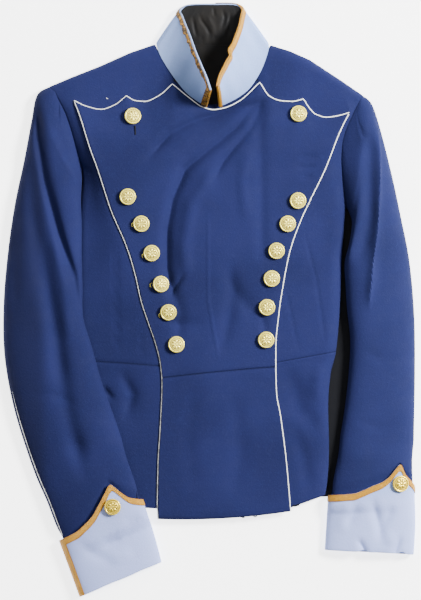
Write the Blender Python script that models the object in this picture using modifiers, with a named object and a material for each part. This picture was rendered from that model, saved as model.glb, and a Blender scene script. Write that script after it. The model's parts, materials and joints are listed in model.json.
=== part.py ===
"""A lancer's military tunic, laid flat on its back with its front up.

Every size in the tables is in millimetres. X runs to the wearer's left, Y from hem to collar, Z up
from the surface that the tunic lies on. The cloth pieces are walls between two offsets of a net of
points, and what lies on a panel is made from that panel's own points, moved out along its normals.
"""

import math
from collections import namedtuple

import bpy
from mathutils import Vector
from mathutils.bvhtree import BVHTree

MM = 0.001

# Walls and gaps
CLOTH = 2.0
PLASTRON_CLOTH = 2.4
COLLAR_CLOTH = 2.4
LINING = 1.0
LACE_THICKNESS = 1.0
LACE_WIDTH = 8.5
PIPING_RADIUS = 1.1
LIE_GAP = 0.4
SEAM_GAP = 0.3
PIPING_ROOM = 1.7
ARMHOLE_GAP = 0.5
COLLAR_LINING_GAP = 0.5
BUTTON_LIFT = 0.4
SHARP_DEGREES = 50
NEARLY_STRAIGHT = 0.98

# Heights above the surface
LINING_BED = CLOTH + SEAM_GAP
SHOULDER_HEIGHT = 13.2
OUTER_PARTING = 3.8
INNER_PARTING = 2.4

# Buttons
BUTTON_RADIUS = 10.4
BUTTON_HEIGHT = 6.2
BUTTON_STEPS = 10

# Cuts across the front, from hem to scalloped edge: Y at five places, then Z at seven.
# "pl" and "pr" are the plastron's edges on the wearer's right and left.
Cut = namedtuple(
    "Cut",
    "y_right y_pl y_mid y_pr y_left z_right_edge z_right z_pl z_mid z_pr z_left z_left_edge",
)
HEM, SKIRT, PLASTRON_WAIST, WAIST, RIBS, UNDERARM, CHEST, SCALLOP = range(8)
CUTS = {
    HEM: Cut(-258, -263, -268, -262, -246, 4.5, 6.5, 10.5, 11, 11, 10.5, 5.4),
    SKIRT: Cut(-163, -171, -176, -171, -157, 4.5, 6.5, 12, 13, 13, 13, 5.4),
    PLASTRON_WAIST: Cut(-89, -98, -90, -84, -71, 4.5, 7, 14.5, 16, 15.5, 15, 5.4),
    WAIST: Cut(-76, -83, -80, -79, -65, 4.5, 7.5, 15, 16.5, 16, 15.5, 5.4),
    RIBS: Cut(38, 32, 32, 36, 38, 4.5, 9, 19, 21, 20, 17, 5.4),
    UNDERARM: Cut(166, 151, 139, 129, 118, 5.2, 9.5, 21, 24, 23, 17, 6),
    CHEST: Cut(206, 202, 192, 182, 172, 11, 15, 20, 23, 22, 17, 11),
    SCALLOP: Cut(254, 251, 240, 236, 238, 13, 14.5, 15.5, 13, 15.5, 14.5, 13),
}
PLASTRON_HEM_Y = (-276, -275, -266)
PLASTRON_HEM_DROP = 0.5

# Side edges of the fronts, as (Y, X), from hem to shoulder seam
RIGHT_SIDE = (
    (-258, -157),
    (-188, -159),
    (-125, -159),
    (-75, -162),
    (1, -166),
    (95, -165),
    (125, -163),
    (140, -161.5),
    (150, -160.5),
    (166, -161.5),
    (177, -166),
    (196, -171),
    (215, -176),
    (236, -183),
    (256, -193),
    (263, -196),
)
LEFT_SIDE = (
    (-246, 145),
    (-226, 148),
    (-188, 150),
    (-132, 149),
    (-94, 152),
    (-65, 159),
    (-6, 164),
    (45, 166),
    (95, 169),
    (118, 170),
    (139, 168),
    (158, 166),
    (177, 165),
    (196, 166),
    (215, 171),
    (229, 177),
    (246, 185),
    (251, 188),
)
SIDE_ROLL = {"right": 8, "left": 16}
ROLL_LIMIT = 0.95

# The plastron's side edges, as (Y, X), along the middle of the piping
PLASTRON_RIGHT_EDGE = (
    (-276, -66),
    (-261, -67),
    (-206, -66),
    (-156, -63),
    (-105, -61),
    (-81, -63),
    (-62, -67),
    (-26, -79),
    (-2, -87),
    (29, -94),
    (54, -101),
    (76, -109),
    (95, -117.5),
    (114, -125.5),
    (140, -134),
    (166, -142.5),
    (192, -152),
    (230, -164),
    (251, -172),
)
PLASTRON_LEFT_EDGE = (
    (-266, 101),
    (-200, 95),
    (-146, 88),
    (-117, 83),
    (-81, 82),
    (-62, 82),
    (-16, 86),
    (23, 92),
    (62, 100),
    (99, 113),
    (129, 127),
    (164, 144),
    (212, 163),
    (236, 175),
)

# The plastron's top edge: scallops between peaks, and the stretch along the collar, as (X, Y)
Scallop = namedtuple("Scallop", "cells points")
TOP_EDGE = (
    Scallop(4, ((-172, 251), (-157, 244), (-138, 240), (-120, 246), (-106, 257))),
    Scallop(4, ((-106, 257), (-95, 251), (-83, 250), (-64, 258), (-48, 272))),
    Scallop(8, ((-48, 272), (-26, 254), (-10, 243), (3, 240), (16, 242), (38, 252), (62, 274))),
    Scallop(4, ((62, 274), (74, 257), (88, 251), (103, 250), (117, 253))),
    Scallop(4, ((117, 253), (124, 242), (132, 234), (146, 230), (161, 232), (175, 236))),
)
NECK_CENTRE = (3, 285)
NECK_TURN_IN = 6.5

# Shoulder seams from armhole to collar, the outline outside them, and the cloth under the collar, as (X, Y)
Shoulder = namedtuple("Shoulder", "seam outline under_collar")
SHOULDERS = {
    "right": Shoulder(
        ((-196, 263), (-171, 274), (-139, 287), (-105, 298), (-60, 303)),
        ((-203, 269), (-177, 280), (-139, 295), (-101, 312), (-70, 322.5)),
        ((-43, 284), (-52, 296)),
    ),
    "left": Shoulder(
        ((188, 251), (169, 263), (144, 279), (113, 297), (66, 304)),
        ((192, 258), (163, 278), (125, 303), (100, 314), (75.5, 321.5)),
        ((55, 283), (61.5, 296)),
    ),
}
SHOULDER_TURN_IN = 8
SIDE_PART_OF_SEAM = 0.19

# The back's side edges from hem to armhole, as (Y at right side, X, Y at left side, X)
BackRow = namedtuple("BackRow", "y_right x_right y_left x_left")
BACK_ROWS = (
    BackRow(-254, -154, -248, 154),
    BackRow(-176, -158, -176, 168),
    BackRow(-75, -161, -75, 180),
    BackRow(40, -165.5, 40, 178),
    BackRow(110, -164, 99, 179.5),
    BackRow(150, -160.5, 108, 175),
    BackRow(166, -161.5, 118, 170),
    BackRow(196, -171, 177, 165),
    BackRow(236, -183, 222, 173.5),
    BackRow(259, -194, 248, 186),
)
BACK_NECKLINE = (
    (-62.5, 321.8),
    (-54, 322.8),
    (-27, 320.6),
    (3, 319.5),
    (32, 320.6),
    (57, 322.8),
    (67, 321.6),
)
BACK_UNDERARM_ROW = 6
LINING_MARGIN = 5
LINING_COLUMNS = 10
LINING_TOP = (
    (-184, 243),
    (-130, 272),
    (-76, 296),
    (-60, 318.5),
    (62, 318.5),
    (80, 292),
    (130, 266),
    (176, 230),
)

# Collar: rulings from neck seam to top edge on its outer face, round from the right front edge to the left
Ruling = namedtuple("Ruling", "neck_x neck_y neck_z top_x top_y top_z")
COLLAR = (
    Ruling(-6, 243, 16.6, -1, 263, 63),
    Ruling(-20, 252, 14.6, -6, 279, 56.5),
    Ruling(-32, 262, 13.9, -13, 296, 49),
    Ruling(-45, 278, 13.9, -20, 314, 41),
    Ruling(-55, 293, 13.9, -26, 332, 32),
    Ruling(-63, 307, 13.8, -32, 348, 22),
    Ruling(-67, 317, 12, -36.5, 360, 14.5),
    Ruling(-68.4, 321.5, 9, -39, 364, 10.5),
    Ruling(-68.6, 324.5, 5, -38, 368, 6.5),
    Ruling(-64, 325.5, 1.2, -32, 372, 3),
    Ruling(-54, 323.5, 0, -23, 373.5, 1.8),
    Ruling(-32, 321.5, 0, -9, 374, 1.7),
    Ruling(3, 320, 0, 6, 374, 1.7),
    Ruling(37, 321.5, 0, 22, 374, 1.7),
    Ruling(57, 323.5, 0, 30, 373.5, 1.8),
    Ruling(67, 324.5, 1.2, 35.5, 372.5, 3),
    Ruling(73, 324, 5, 40, 369.5, 6.5),
    Ruling(74, 321, 9, 41, 366, 10.5),
    Ruling(73.5, 316, 12, 40, 361, 14.5),
    Ruling(69, 301, 13.9, 37, 346, 24),
    Ruling(62, 285, 13.9, 31, 329, 32),
    Ruling(50, 267, 13.9, 25, 313, 37),
    Ruling(37, 256, 13.9, 20, 297, 45),
    Ruling(24, 248.5, 14.6, 13, 282, 53),
    Ruling(12, 243, 16.6, 9.5, 268, 60),
)
COLLAR_ROWS = (0, 0.3, 0.6, 0.843, 1)
COLLAR_END_STEP = 0.5
COLLAR_LEAST_Z = 1.7
COLLAR_LINING_MARGIN = 4

# Sleeves: the outer and inner edge seen from above, and the loft, from armhole to cuff end
Arm = namedtuple("Arm", "outer_x outer_y inner_x inner_y loft")
ARMS = {
    "right": (
        Arm(-203, 269, -162.5, 167, 17),
        Arm(-219, 258, -162, 149, 19),
        Arm(-226, 225, -163, 125, 21),
        Arm(-235, 177, -162, 95, 22),
        Arm(-247, 120, -162, 59, 22),
        Arm(-256, 57, -161, 18, 22),
        Arm(-261, -6, -160, -22, 21),
        Arm(-260, -69, -149, -60, 20),
        Arm(-249, -132, -137, -103, 19),
        Arm(-231, -192, -123, -142, 17),
        Arm(-208, -255, -103, -198, 15),
        Arm(-190, -303, -85, -250, 13),
        Arm(-176, -341, -71, -293, 12),
        Arm(-164, -374, -61, -330, 11),
    ),
    "left": (
        Arm(192, 258, 171, 118, 17),
        Arm(204, 246, 178, 99, 19),
        Arm(216, 209, 175, 72, 21),
        Arm(229, 157, 169, 47, 22),
        Arm(240, 106, 170, 20, 22),
        Arm(251, 49, 172, -12, 22),
        Arm(257, -18, 176, -51, 21),
        Arm(258, -85, 174, -93, 20),
        Arm(257, -151, 168, -144, 18),
        Arm(256, -201, 159, -195, 16),
        Arm(257, -241, 149, -246, 14),
        Arm(258, -282, 146, -284, 12),
        Arm(256, -321, 144, -315, 11),
    ),
}
WRIST = {"right": 11, "left": 10}
ARM_STEPS_AT_HEAD = (0, 0.35, 0.7, 1, 1.5, 2, 3)
HEAD_FADE = 0.8
HEAD_FADE_POWER = 1.8
CUFF_NARROWS_ABOVE = 1.6
CUFF_NARROWS_OVER = 0.7
CUFF_ROOM = 0.2
PEAK_PULL_WIDTH = 0.15
PEAK_PULL_ABOVE = 2
PEAK_PULL_OVER = 1.2
UNDER_EDGES = (3, 9)
UNDER_SHARE = 0.36
SLEEVE_FLATNESS = 2.6
CUFF_INSET = 2.2
SLEEVE_PAST_CUFF_EDGE = 5
PIPED_FROM = 7.75
PIPING_END_TRIM = 0.3
REST_MARGIN = 1.6
EDGE_LIFT = 0.8
ARMHOLE_FADE = 22
REACH_BESIDE_BODY = 7
REACH_ACROSS_BODY = 24
REACH_CHANGE = 60
REACH_HOLD = 0.5
REACH_STEPS = 10
EDGE_TOLERANCE = 0.1
HIGHEST_BED = 12
LIES_OVER_BELOW = {"right": 158, "left": 124}

# Cuffs: how far the upper edge rises above the wrist line, by the share of the way from outer to inner edge
CUFF_RISE = {
    "right": (
        (0, 0),
        (0.19, 0.3),
        (0.31, 3.7),
        (0.43, 9),
        (0.54, 18),
        (0.64, 27),
        (0.738, 35),
        (0.79, 26.5),
        (0.83, 18.5),
        (0.883, 10),
        (0.94, 5),
        (1, 0),
    ),
    "left": (
        (0, 5),
        (0.028, 11.5),
        (0.104, 22),
        (0.171, 35),
        (0.239, 28.5),
        (0.308, 20),
        (0.389, 14),
        (0.507, 9.5),
        (0.619, 4.5),
        (0.731, 1),
        (1, 0),
    ),
}
CUFF_PEAK = {"right": (0.783, 0.738), "left": (0.217, 0.171)}
SLIT_LACE_CELLS = 2
CUFF_ROW_SHARES = (0.33, 0.67)

# Largest folds: depth (a valley is below zero), half width and path
Fold = namedtuple("Fold", "depth width path")
BODY_FOLDS = (
    Fold(-2.5, 9, ((56, 252), (6, 228), (-38, 209), (-76, 183))),
    Fold(-2, 8, ((64, 255), (65, 236), (50, 202))),
    Fold(-2.5, 11, ((-20, 190), (-41, 133), (-54, 76), (-52, 30), (-45, -12))),
    Fold(-1.5, 12, ((35, 209), (17, 162), (4, 120))),
    Fold(-1.5, 12, ((-104, -80), (-100, -106), (-99, -132), (-104, -169))),
    Fold(-1.5, 14, ((126, -90), (109, -125), (100, -169))),
)
SLEEVE_FOLDS = (
    Fold(-4, 7, ((-219, 250), (-215, 209), (-206, 152), (-188, 76), (-172, 8))),
    Fold(-5, 11, ((-229, 190), (-224, 114), (-211, 38), (-193, -50), (-182, -138), (-160, -214))),
    Fold(3, 6, ((209, 225), (215, 183), (211, 89), (202, 13), (200, -14))),
    Fold(-5, 8, ((203, 217), (202, 164), (202, 108), (195, 70), (180, 40))),
)
FOLD_FADE = 35

# Buttons as (X, Y)
BUTTONS = {
    "right": ((-98, 231), (-104, 130), (-87, 96), (-74, 59), (-63, 20), (-53, -15), (-43, -56)),
    "left": ((111, 234), (110, 125), (97, 96), (83, 62), (77, 27), (71, -9), (70, -50)),
}
CUFF_BUTTONS = {"right": (-123, -260), "left": (238.5, -231)}

# Colours as linear RGB, roughness and metallic value
Finish = namedtuple("Finish", "colour roughness metallic")
FINISHES = {
    "blue_wool": Finish((0.045, 0.062, 0.24), 0.9, 0.0),
    "light_blue_wool": Finish((0.42, 0.58, 0.78), 0.9, 0.0),
    "white_piping": Finish((0.85, 0.85, 0.82), 0.8, 0.0),
    "gold_lace": Finish((0.72, 0.5, 0.16), 0.45, 0.6),
    "gilt_brass": Finish((0.9, 0.68, 0.28), 0.25, 1.0),
    "dark_lining": Finish((0.012, 0.011, 0.011), 0.6, 0.0),
}


def clear_scene():
    for obj in list(bpy.data.objects):
        bpy.data.objects.remove(obj, do_unlink=True)


def material(name):
    finish = FINISHES[name]
    made = bpy.data.materials.get(name)
    if made is None:
        made = bpy.data.materials.new(name)
        made.use_nodes = True
        shader = made.node_tree.nodes["Principled BSDF"]
        shader.inputs["Base Color"].default_value = (*finish.colour, 1)
        shader.inputs["Roughness"].default_value = finish.roughness
        shader.inputs["Metallic"].default_value = finish.metallic
        made.diffuse_color = (*finish.colour, 1)
    return made


def clamp(value, low=0.0, high=1.0):
    return min(max(value, low), high)


def ease(share):
    share = clamp(share)
    return share * share * (3 - 2 * share)


def mix(first, second, share):
    return first + (second - first) * share


def slopes(xs, ys):
    """Slopes at the knots of a smooth curve that never swings past its knots."""
    steps = [(ys[i + 1] - ys[i]) / (xs[i + 1] - xs[i]) for i in range(len(xs) - 1)]
    inner = [
        0 if a * b <= 0 else 2 * a * b / (a + b) for a, b in zip(steps[:-1], steps[1:])
    ]
    return [steps[0], *inner, steps[-1]]


def value_at(table, x):
    """The second column of a table at x in its first column, on a smooth curve."""
    xs = [row[0] for row in table]
    ys = [row[1] for row in table]
    x = clamp(x, xs[0], xs[-1])
    at = slopes(xs, ys)
    i = max(k for k in range(len(xs) - 1) if xs[k] <= x)
    width = xs[i + 1] - xs[i]
    f = (x - xs[i]) / width
    return (
        ys[i] * (1 + 2 * f) * (1 - f) ** 2
        + ys[i + 1] * f * f * (3 - 2 * f)
        + at[i] * width * f * (1 - f) ** 2
        - at[i + 1] * width * f * f * (1 - f)
    )


def row_at(rows, t):
    """The row at t, counted in rows, on a smooth curve through them all."""
    last = len(rows) - 1
    i = min(int(clamp(t, 0, last)), last - 1)
    f = t - i
    before, start, end, after = rows[max(i - 1, 0)], rows[i], rows[i + 1], rows[min(i + 2, last)]
    return [
        0.5
        * (
            2 * q
            + (r - p) * f
            + (2 * p - 5 * q + 4 * r - s) * f * f
            + (3 * q - p - 3 * r + s) * f**3
        )
        for p, q, r, s in zip(before, start, end, after)
    ]


def on_path(path, share):
    """The point at a share of the way along a polyline, by length."""
    lengths = [math.dist(a, b) for a, b in zip(path[:-1], path[1:])]
    left = clamp(share) * sum(lengths)
    for i, length in enumerate(lengths):
        if left <= length or i == len(lengths) - 1:
            return Vector(path[i]).lerp(Vector(path[i + 1]), left / length)
        left -= length


def fold_height(folds, x, y):
    """What the folds add to the height at a place, each fading out at its two ends."""
    total = 0
    for fold in folds:
        nearest, run_at = math.inf, 0
        run = 0
        length = sum(math.dist(a, b) for a, b in zip(fold.path[:-1], fold.path[1:]))
        for a, b in zip(fold.path[:-1], fold.path[1:]):
            step = math.dist(a, b)
            share = clamp(((x - a[0]) * (b[0] - a[0]) + (y - a[1]) * (b[1] - a[1])) / step**2)
            away = math.dist((x, y), (mix(a[0], b[0], share), mix(a[1], b[1], share)))
            if away < nearest:
                nearest, run_at = away, run + share * step
            run += step
        fade = ease(run_at / FOLD_FADE) * ease((length - run_at) / FOLD_FADE)
        total += fold.depth * math.exp(-((nearest / fold.width) ** 2)) * fade
    return total


class Net:
    """A surface as points[(row, column)], its cells, and a normal at each point."""

    def __init__(self, points, cells, around=0, flip=False):
        self.points = points
        self.cells = cells
        self.around = around
        self.flip = flip
        self.normals = {key: Vector() for key in points}
        for cell in cells:
            a, b, c, d = (points[key] for key in self.corners(cell))
            normal = (c - a).cross(d - b)
            for key in self.corners(cell):
                self.normals[key] += normal
        for normal in self.normals.values():
            normal.normalize()

    def corners(self, cell):
        row, column = cell
        beside = (column + 1) % self.around if self.around else column + 1
        found = ((row, column), (row, beside), (row + 1, beside), (row + 1, column))
        return found[::-1] if self.flip else found

    def triangles(self, cell):
        """A cell's two halves, cut along its shorter diagonal so that all layers are cut alike."""
        a, b, c, d = self.corners(cell)
        if math.dist(self.points[a], self.points[c]) <= math.dist(self.points[b], self.points[d]):
            return (a, b, c), (a, c, d)
        return (a, b, d), (b, c, d)

    def between(self, row, column, share):
        """The point and normal at a share of the way from a row to the next."""
        point = self.points[row, column].lerp(self.points[row + 1, column], share)
        normal = self.normals[row, column].lerp(self.normals[row + 1, column], share)
        return point, normal.normalized()


def inset(normal, into, out, trim_into, trim_out):
    """How far a corner moves so that both its edges move in by their own trims."""
    first = normal.cross(into).normalized()
    second = normal.cross(out).normalized()
    lean = first.dot(second)
    if abs(lean) > NEARLY_STRAIGHT:
        return (first + second).normalized() * (trim_into + trim_out) / 2
    a = (trim_into - lean * trim_out) / (1 - lean * lean)
    b = (trim_out - lean * trim_into) / (1 - lean * lean)
    return first * a + second * b


def seam_trim(_first, _second):
    return SEAM_GAP / 2


def no_trim(_first, _second):
    return 0


def as_offset(_net, _key, point):
    return point.z


def wall(name, net, cells, inner, outer, finish, trim=seam_trim, height=as_offset):
    """One piece of cloth: cells of a net, as a closed wall between two offsets along its normals."""
    edges = {}
    for cell in cells:
        corners = net.corners(cell)
        for a, b in zip(corners, corners[1:] + corners[:1]):
            edges[a, b] = cell
    rim = {a: b for a, b in edges if (b, a) not in edges}
    before = {b: a for a, b in rim.items()}
    place = {}
    for cell in cells:
        for key in net.corners(cell):
            place.setdefault(key, net.points[key].copy())
    for key, following in rim.items():
        previous = before[key]
        place[key] += inset(
            net.normals[key],
            net.points[key] - net.points[previous],
            net.points[following] - net.points[key],
            trim(previous, key),
            trim(key, following),
        )
    keys = list(place)
    index = {key: i for i, key in enumerate(keys)}
    count = len(keys)
    points = []
    for offset in (outer, inner):
        for key in keys:
            point = place[key] + net.normals[key] * offset
            points.append(Vector((point.x, point.y, height(net, key, point))))
    faces = []
    for cell in cells:
        for triangle in net.triangles(cell):
            a, b, c = (index[key] for key in triangle)
            faces.append((a, b, c))
            faces.append((a + count, c + count, b + count))
    for first, second in rim.items():
        a, b = index[first], index[second]
        faces.append((b, a, a + count, b + count))
    mesh = bpy.data.meshes.new(name)
    mesh.from_pydata([point * MM for point in points], [], faces)
    return add_part(name, mesh, finish)


def add_part(name, data, finish):
    obj = bpy.data.objects.new(name, data)
    data.materials.append(material(finish))
    if isinstance(data, bpy.types.Mesh):
        data.shade_smooth()
        data.set_sharp_from_angle(angle=math.radians(SHARP_DEGREES))
    bpy.data.collections["military_tunic"].objects.link(obj)
    return obj


def cord(name, points, radius, finish):
    """A piping cord along a run of points."""
    curve = bpy.data.curves.new(name, "CURVE")
    curve.dimensions = "3D"
    curve.bevel_depth = radius * MM
    curve.bevel_resolution = 2
    curve.use_fill_caps = True
    spline = curve.splines.new("POLY")
    spline.points.add(len(points) - 1)
    for spot, point in zip(spline.points, points):
        spot.co = (*(point * MM), 1)
    return add_part(name, curve, finish)


def tree_of(*objects):
    """A search tree of the meshes of some pieces, in metres."""
    points, faces = [], []
    for obj in objects:
        start = len(points)
        points += [vertex.co.copy() for vertex in obj.data.vertices]
        faces += [[start + i for i in face.vertices] for face in obj.data.polygons]
    return BVHTree.FromPolygons(points, faces)


def drop_on(tree, x, y):
    """The highest place of the pieces at (x, y), in millimetres, and the normal there."""
    spot, normal, _, _ = tree.ray_cast(Vector((x * MM, y * MM, 1)), Vector((0, 0, -1)))
    return (spot / MM, normal) if spot is not None else (None, None)


def support_height(bed, place, inner, across):
    """How high a sleeve has to lie at a place to pass over what is beneath it, easing off beside it."""
    tree, below = bed
    below_armhole = ease((below - place.y) / ARMHOLE_FADE)
    if below_armhole == 0:
        return 0
    reach = mix(REACH_BESIDE_BODY, REACH_ACROSS_BODY, ease(-place.y / REACH_CHANGE))
    along = Vector((-across.y, across.x))
    highest = 0
    for step in range(REACH_STEPS + 1):
        share = step / REACH_STEPS
        hold = 1 - ease((share - REACH_HOLD) / (1 - REACH_HOLD))
        for way in (across, along, -along, (across + along) / 2, (across - along) / 2):
            near = place + way * reach * share
            if (near - inner).dot(across) > EDGE_TOLERANCE:
                continue
            spot, _ = drop_on(tree, near.x, near.y)
            if spot is not None:
                highest = max(highest, (min(spot.z, HIGHEST_BED) + REST_MARGIN) * hold)
    return highest * below_armhole


def three_point(first, middle, last, share):
    """A parabola through values at shares 0, 1/2 and 1."""
    bend = middle - (first + last) / 2
    return mix(first, last, share) + 4 * bend * share * (1 - share)


def top_edge_columns():
    """Shares across the plastron of its columns, and the columns of the two peaks beside the collar."""
    start, end = TOP_EDGE[0].points[0][0], TOP_EDGE[-1].points[-1][0]
    shares, peaks = [0.0], []
    for scallop in TOP_EDGE:
        x_first, x_last = scallop.points[0][0], scallop.points[-1][0]
        for i in range(1, scallop.cells + 1):
            shares.append((mix(x_first, x_last, i / scallop.cells) - start) / (end - start))
        peaks.append(len(shares) - 1)
    return shares, (peaks[1], peaks[2])


def top_edge_y(share):
    x = mix(TOP_EDGE[0].points[0][0], TOP_EDGE[-1].points[-1][0], share)
    for scallop in TOP_EDGE:
        if x <= scallop.points[-1][0] + 1e-6:
            return value_at(scallop.points, x)
    return TOP_EDGE[-1].points[-1][1]


SIDE_SHARES = (0, 0.08, 0.24, 0.58, 1)
SIDE_CELLS = len(SIDE_SHARES) - 1
PLASTRON_SHARES, COLLAR_PEAKS = top_edge_columns()
PLASTRON_CELLS = len(PLASTRON_SHARES) - 1
FIRST_PLASTRON_COLUMN = SIDE_CELLS
LAST_PLASTRON_COLUMN = SIDE_CELLS + PLASTRON_CELLS
LAST_COLUMN = LAST_PLASTRON_COLUMN + SIDE_CELLS
CENTRE_COLUMN = FIRST_PLASTRON_COLUMN + sum(COLLAR_PEAKS) // 2
NECK_COLUMNS = [FIRST_PLASTRON_COLUMN + peak for peak in COLLAR_PEAKS]
ROW_CUTS = (
    *(0, 0.33, 0.67, 1, 1.33, 1.67, 2, 3, 3.25, 3.5, 3.75, 4, 4.25, 4.5, 4.75),
    *(5, 5.5, 6, 6.25, 6.5, 6.75, 7),
)
HEM_ROW = 0
PLASTRON_HEM_ROW = -1
PLASTRON_WAIST_ROW = ROW_CUTS.index(PLASTRON_WAIST)
WAIST_ROW = ROW_CUTS.index(WAIST)
UNDERARM_ROW = ROW_CUTS.index(UNDERARM)
SCALLOP_ROW = ROW_CUTS.index(SCALLOP)
SHOULDER_ROWS = 3
SHOULDER_ROW = SCALLOP_ROW + SHOULDER_ROWS


def cut_at(t):
    """The values of the cut at t: Y runs straight between cuts, and Z on smooth curves along the body."""
    low = min(int(t), SCALLOP - 1)
    values = {
        name: mix(getattr(CUTS[low], name), getattr(CUTS[low + 1], name), t - low)
        for name in Cut._fields[:5]
    }
    for name in Cut._fields[5:]:
        along = [(cut.y_mid, getattr(cut, name)) for cut in CUTS.values()]
        values[name] = value_at(along, values["y_mid"])
    return Cut(**values)


def side_point(cut, side, share):
    """A point of a front between its side edge, at share 0, and the plastron's edge, at share 1."""
    if side == "right":
        y_edge, y_plastron = cut.y_right, cut.y_pl
        z_edge, z_side, z_plastron = cut.z_right_edge, cut.z_right, cut.z_pl
        x_edge, x_plastron = value_at(RIGHT_SIDE, y_edge), value_at(PLASTRON_RIGHT_EDGE, y_plastron)
    else:
        y_edge, y_plastron = cut.y_left, cut.y_pr
        z_edge, z_side, z_plastron = cut.z_left_edge, cut.z_left, cut.z_pr
        x_edge, x_plastron = value_at(LEFT_SIDE, y_edge), value_at(PLASTRON_LEFT_EDGE, y_plastron)
    x, y = mix(x_edge, x_plastron, share), mix(y_edge, y_plastron, share)
    radius = min(SIDE_ROLL[side], ROLL_LIMIT * abs(x_plastron - x_edge))
    inside = clamp(abs(x - x_edge) / radius)
    roll = math.sqrt(1 - (1 - inside) ** 2)
    crown = mix(z_side, z_plastron, ease(share))
    z = mix(z_edge, crown, roll) + fold_height(BODY_FOLDS, x, y) * roll
    return Vector((x, y, z))


def middle_point(t, share):
    """A point of the front under the plastron, at a share of the way across it."""
    if t < 0:
        cut = CUTS[HEM]
        y = three_point(*PLASTRON_HEM_Y, share)
        z_drop = PLASTRON_HEM_DROP
        y_first, y_last = PLASTRON_HEM_Y[0], PLASTRON_HEM_Y[2]
    else:
        cut = cut_at(t)
        y = three_point(cut.y_pl, cut.y_mid, cut.y_pr, share)
        z_drop = 0
        y_first, y_last = cut.y_pl, cut.y_pr
        if t > CHEST:
            chest = CUTS[CHEST]
            y_chest = three_point(chest.y_pl, chest.y_mid, chest.y_pr, share)
            y = mix(y_chest, top_edge_y(share), t - CHEST)
    x_first = value_at(PLASTRON_RIGHT_EDGE, y_first)
    x_last = value_at(PLASTRON_LEFT_EDGE, y_last)
    x = mix(x_first, x_last, share)
    z = three_point(cut.z_pl, cut.z_mid, cut.z_pr, share) - z_drop
    return Vector((x, y, z + fold_height(BODY_FOLDS, x, y)))


def front_point(t, column):
    if column < FIRST_PLASTRON_COLUMN:
        return side_point(cut_at(t), "right", SIDE_SHARES[column])
    if column > LAST_PLASTRON_COLUMN:
        return side_point(cut_at(t), "left", SIDE_SHARES[LAST_COLUMN - column])
    return middle_point(t, PLASTRON_SHARES[column - FIRST_PLASTRON_COLUMN])


def seam_share(column):
    """How far along a shoulder seam, from armhole to collar, a column meets it."""
    right_side = column <= NECK_COLUMNS[0]
    from_edge = column if right_side else LAST_COLUMN - column
    if from_edge <= SIDE_CELLS:
        return SIDE_PART_OF_SEAM * SIDE_SHARES[from_edge]
    shares = PLASTRON_SHARES if right_side else [1 - s for s in reversed(PLASTRON_SHARES)]
    peak = COLLAR_PEAKS[0] if right_side else PLASTRON_CELLS - COLLAR_PEAKS[1]
    return mix(SIDE_PART_OF_SEAM, 1, shares[from_edge - SIDE_CELLS] / shares[peak])


def shoulder_side(column):
    return SHOULDERS["right" if column <= NECK_COLUMNS[0] else "left"]


def shoulder_point(scallop_point, column, step):
    """A point of a front above the scalloped edge, on the step-th row towards the shoulder seam."""
    shoulder = shoulder_side(column)
    if column in NECK_COLUMNS and step < SHOULDER_ROWS:
        return Vector((*shoulder.under_collar[step - 1], SHOULDER_HEIGHT))
    seam = on_path(shoulder.seam, seam_share(column))
    share = step / SHOULDER_ROWS
    point = scallop_point.lerp(Vector((*seam, SHOULDER_HEIGHT)), share)
    return point


def front_net():
    """The whole front's outer side, with the plastron's hem below it and the turn-in under the collar."""
    points, cells = {}, []
    columns = range(LAST_COLUMN + 1)
    middle = range(FIRST_PLASTRON_COLUMN, LAST_PLASTRON_COLUMN + 1)
    for column in middle:
        share = PLASTRON_SHARES[column - FIRST_PLASTRON_COLUMN]
        points[PLASTRON_HEM_ROW, column] = middle_point(-1, share)
    for row, t in enumerate(ROW_CUTS):
        for column in columns:
            points[row, column] = front_point(t, column)
    centre = Vector((*NECK_CENTRE, 0))
    for column in columns:
        edge = points[SCALLOP_ROW, column]
        if NECK_COLUMNS[0] < column < NECK_COLUMNS[1]:
            inward = (centre - edge) * Vector((1, 1, 0))
            points[SCALLOP_ROW + 1, column] = edge + inward.normalized() * NECK_TURN_IN
            continue
        for step in range(1, SHOULDER_ROWS + 1):
            points[SCALLOP_ROW + step, column] = shoulder_point(edge, column, step)
    for row in range(PLASTRON_HEM_ROW, SHOULDER_ROW):
        for column in range(LAST_COLUMN):
            corners = [(row, column), (row, column + 1), (row + 1, column), (row + 1, column + 1)]
            if all(key in points for key in corners):
                cells.append((row, column))
    return Net(points, cells)


def block(net, rows, columns):
    """The net's cells within a range of rows and a range of columns."""
    return [cell for cell in net.cells if cell[0] in rows and cell[1] in columns]


def plastron_trim(first, second):
    """The plastron makes room for the piping on all sides but its waist seam and hem."""
    rows = {first[0], second[0]}
    if rows == {PLASTRON_WAIST_ROW}:
        return SEAM_GAP / 2
    if rows == {PLASTRON_HEM_ROW}:
        return 0
    return PIPING_ROOM


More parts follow.
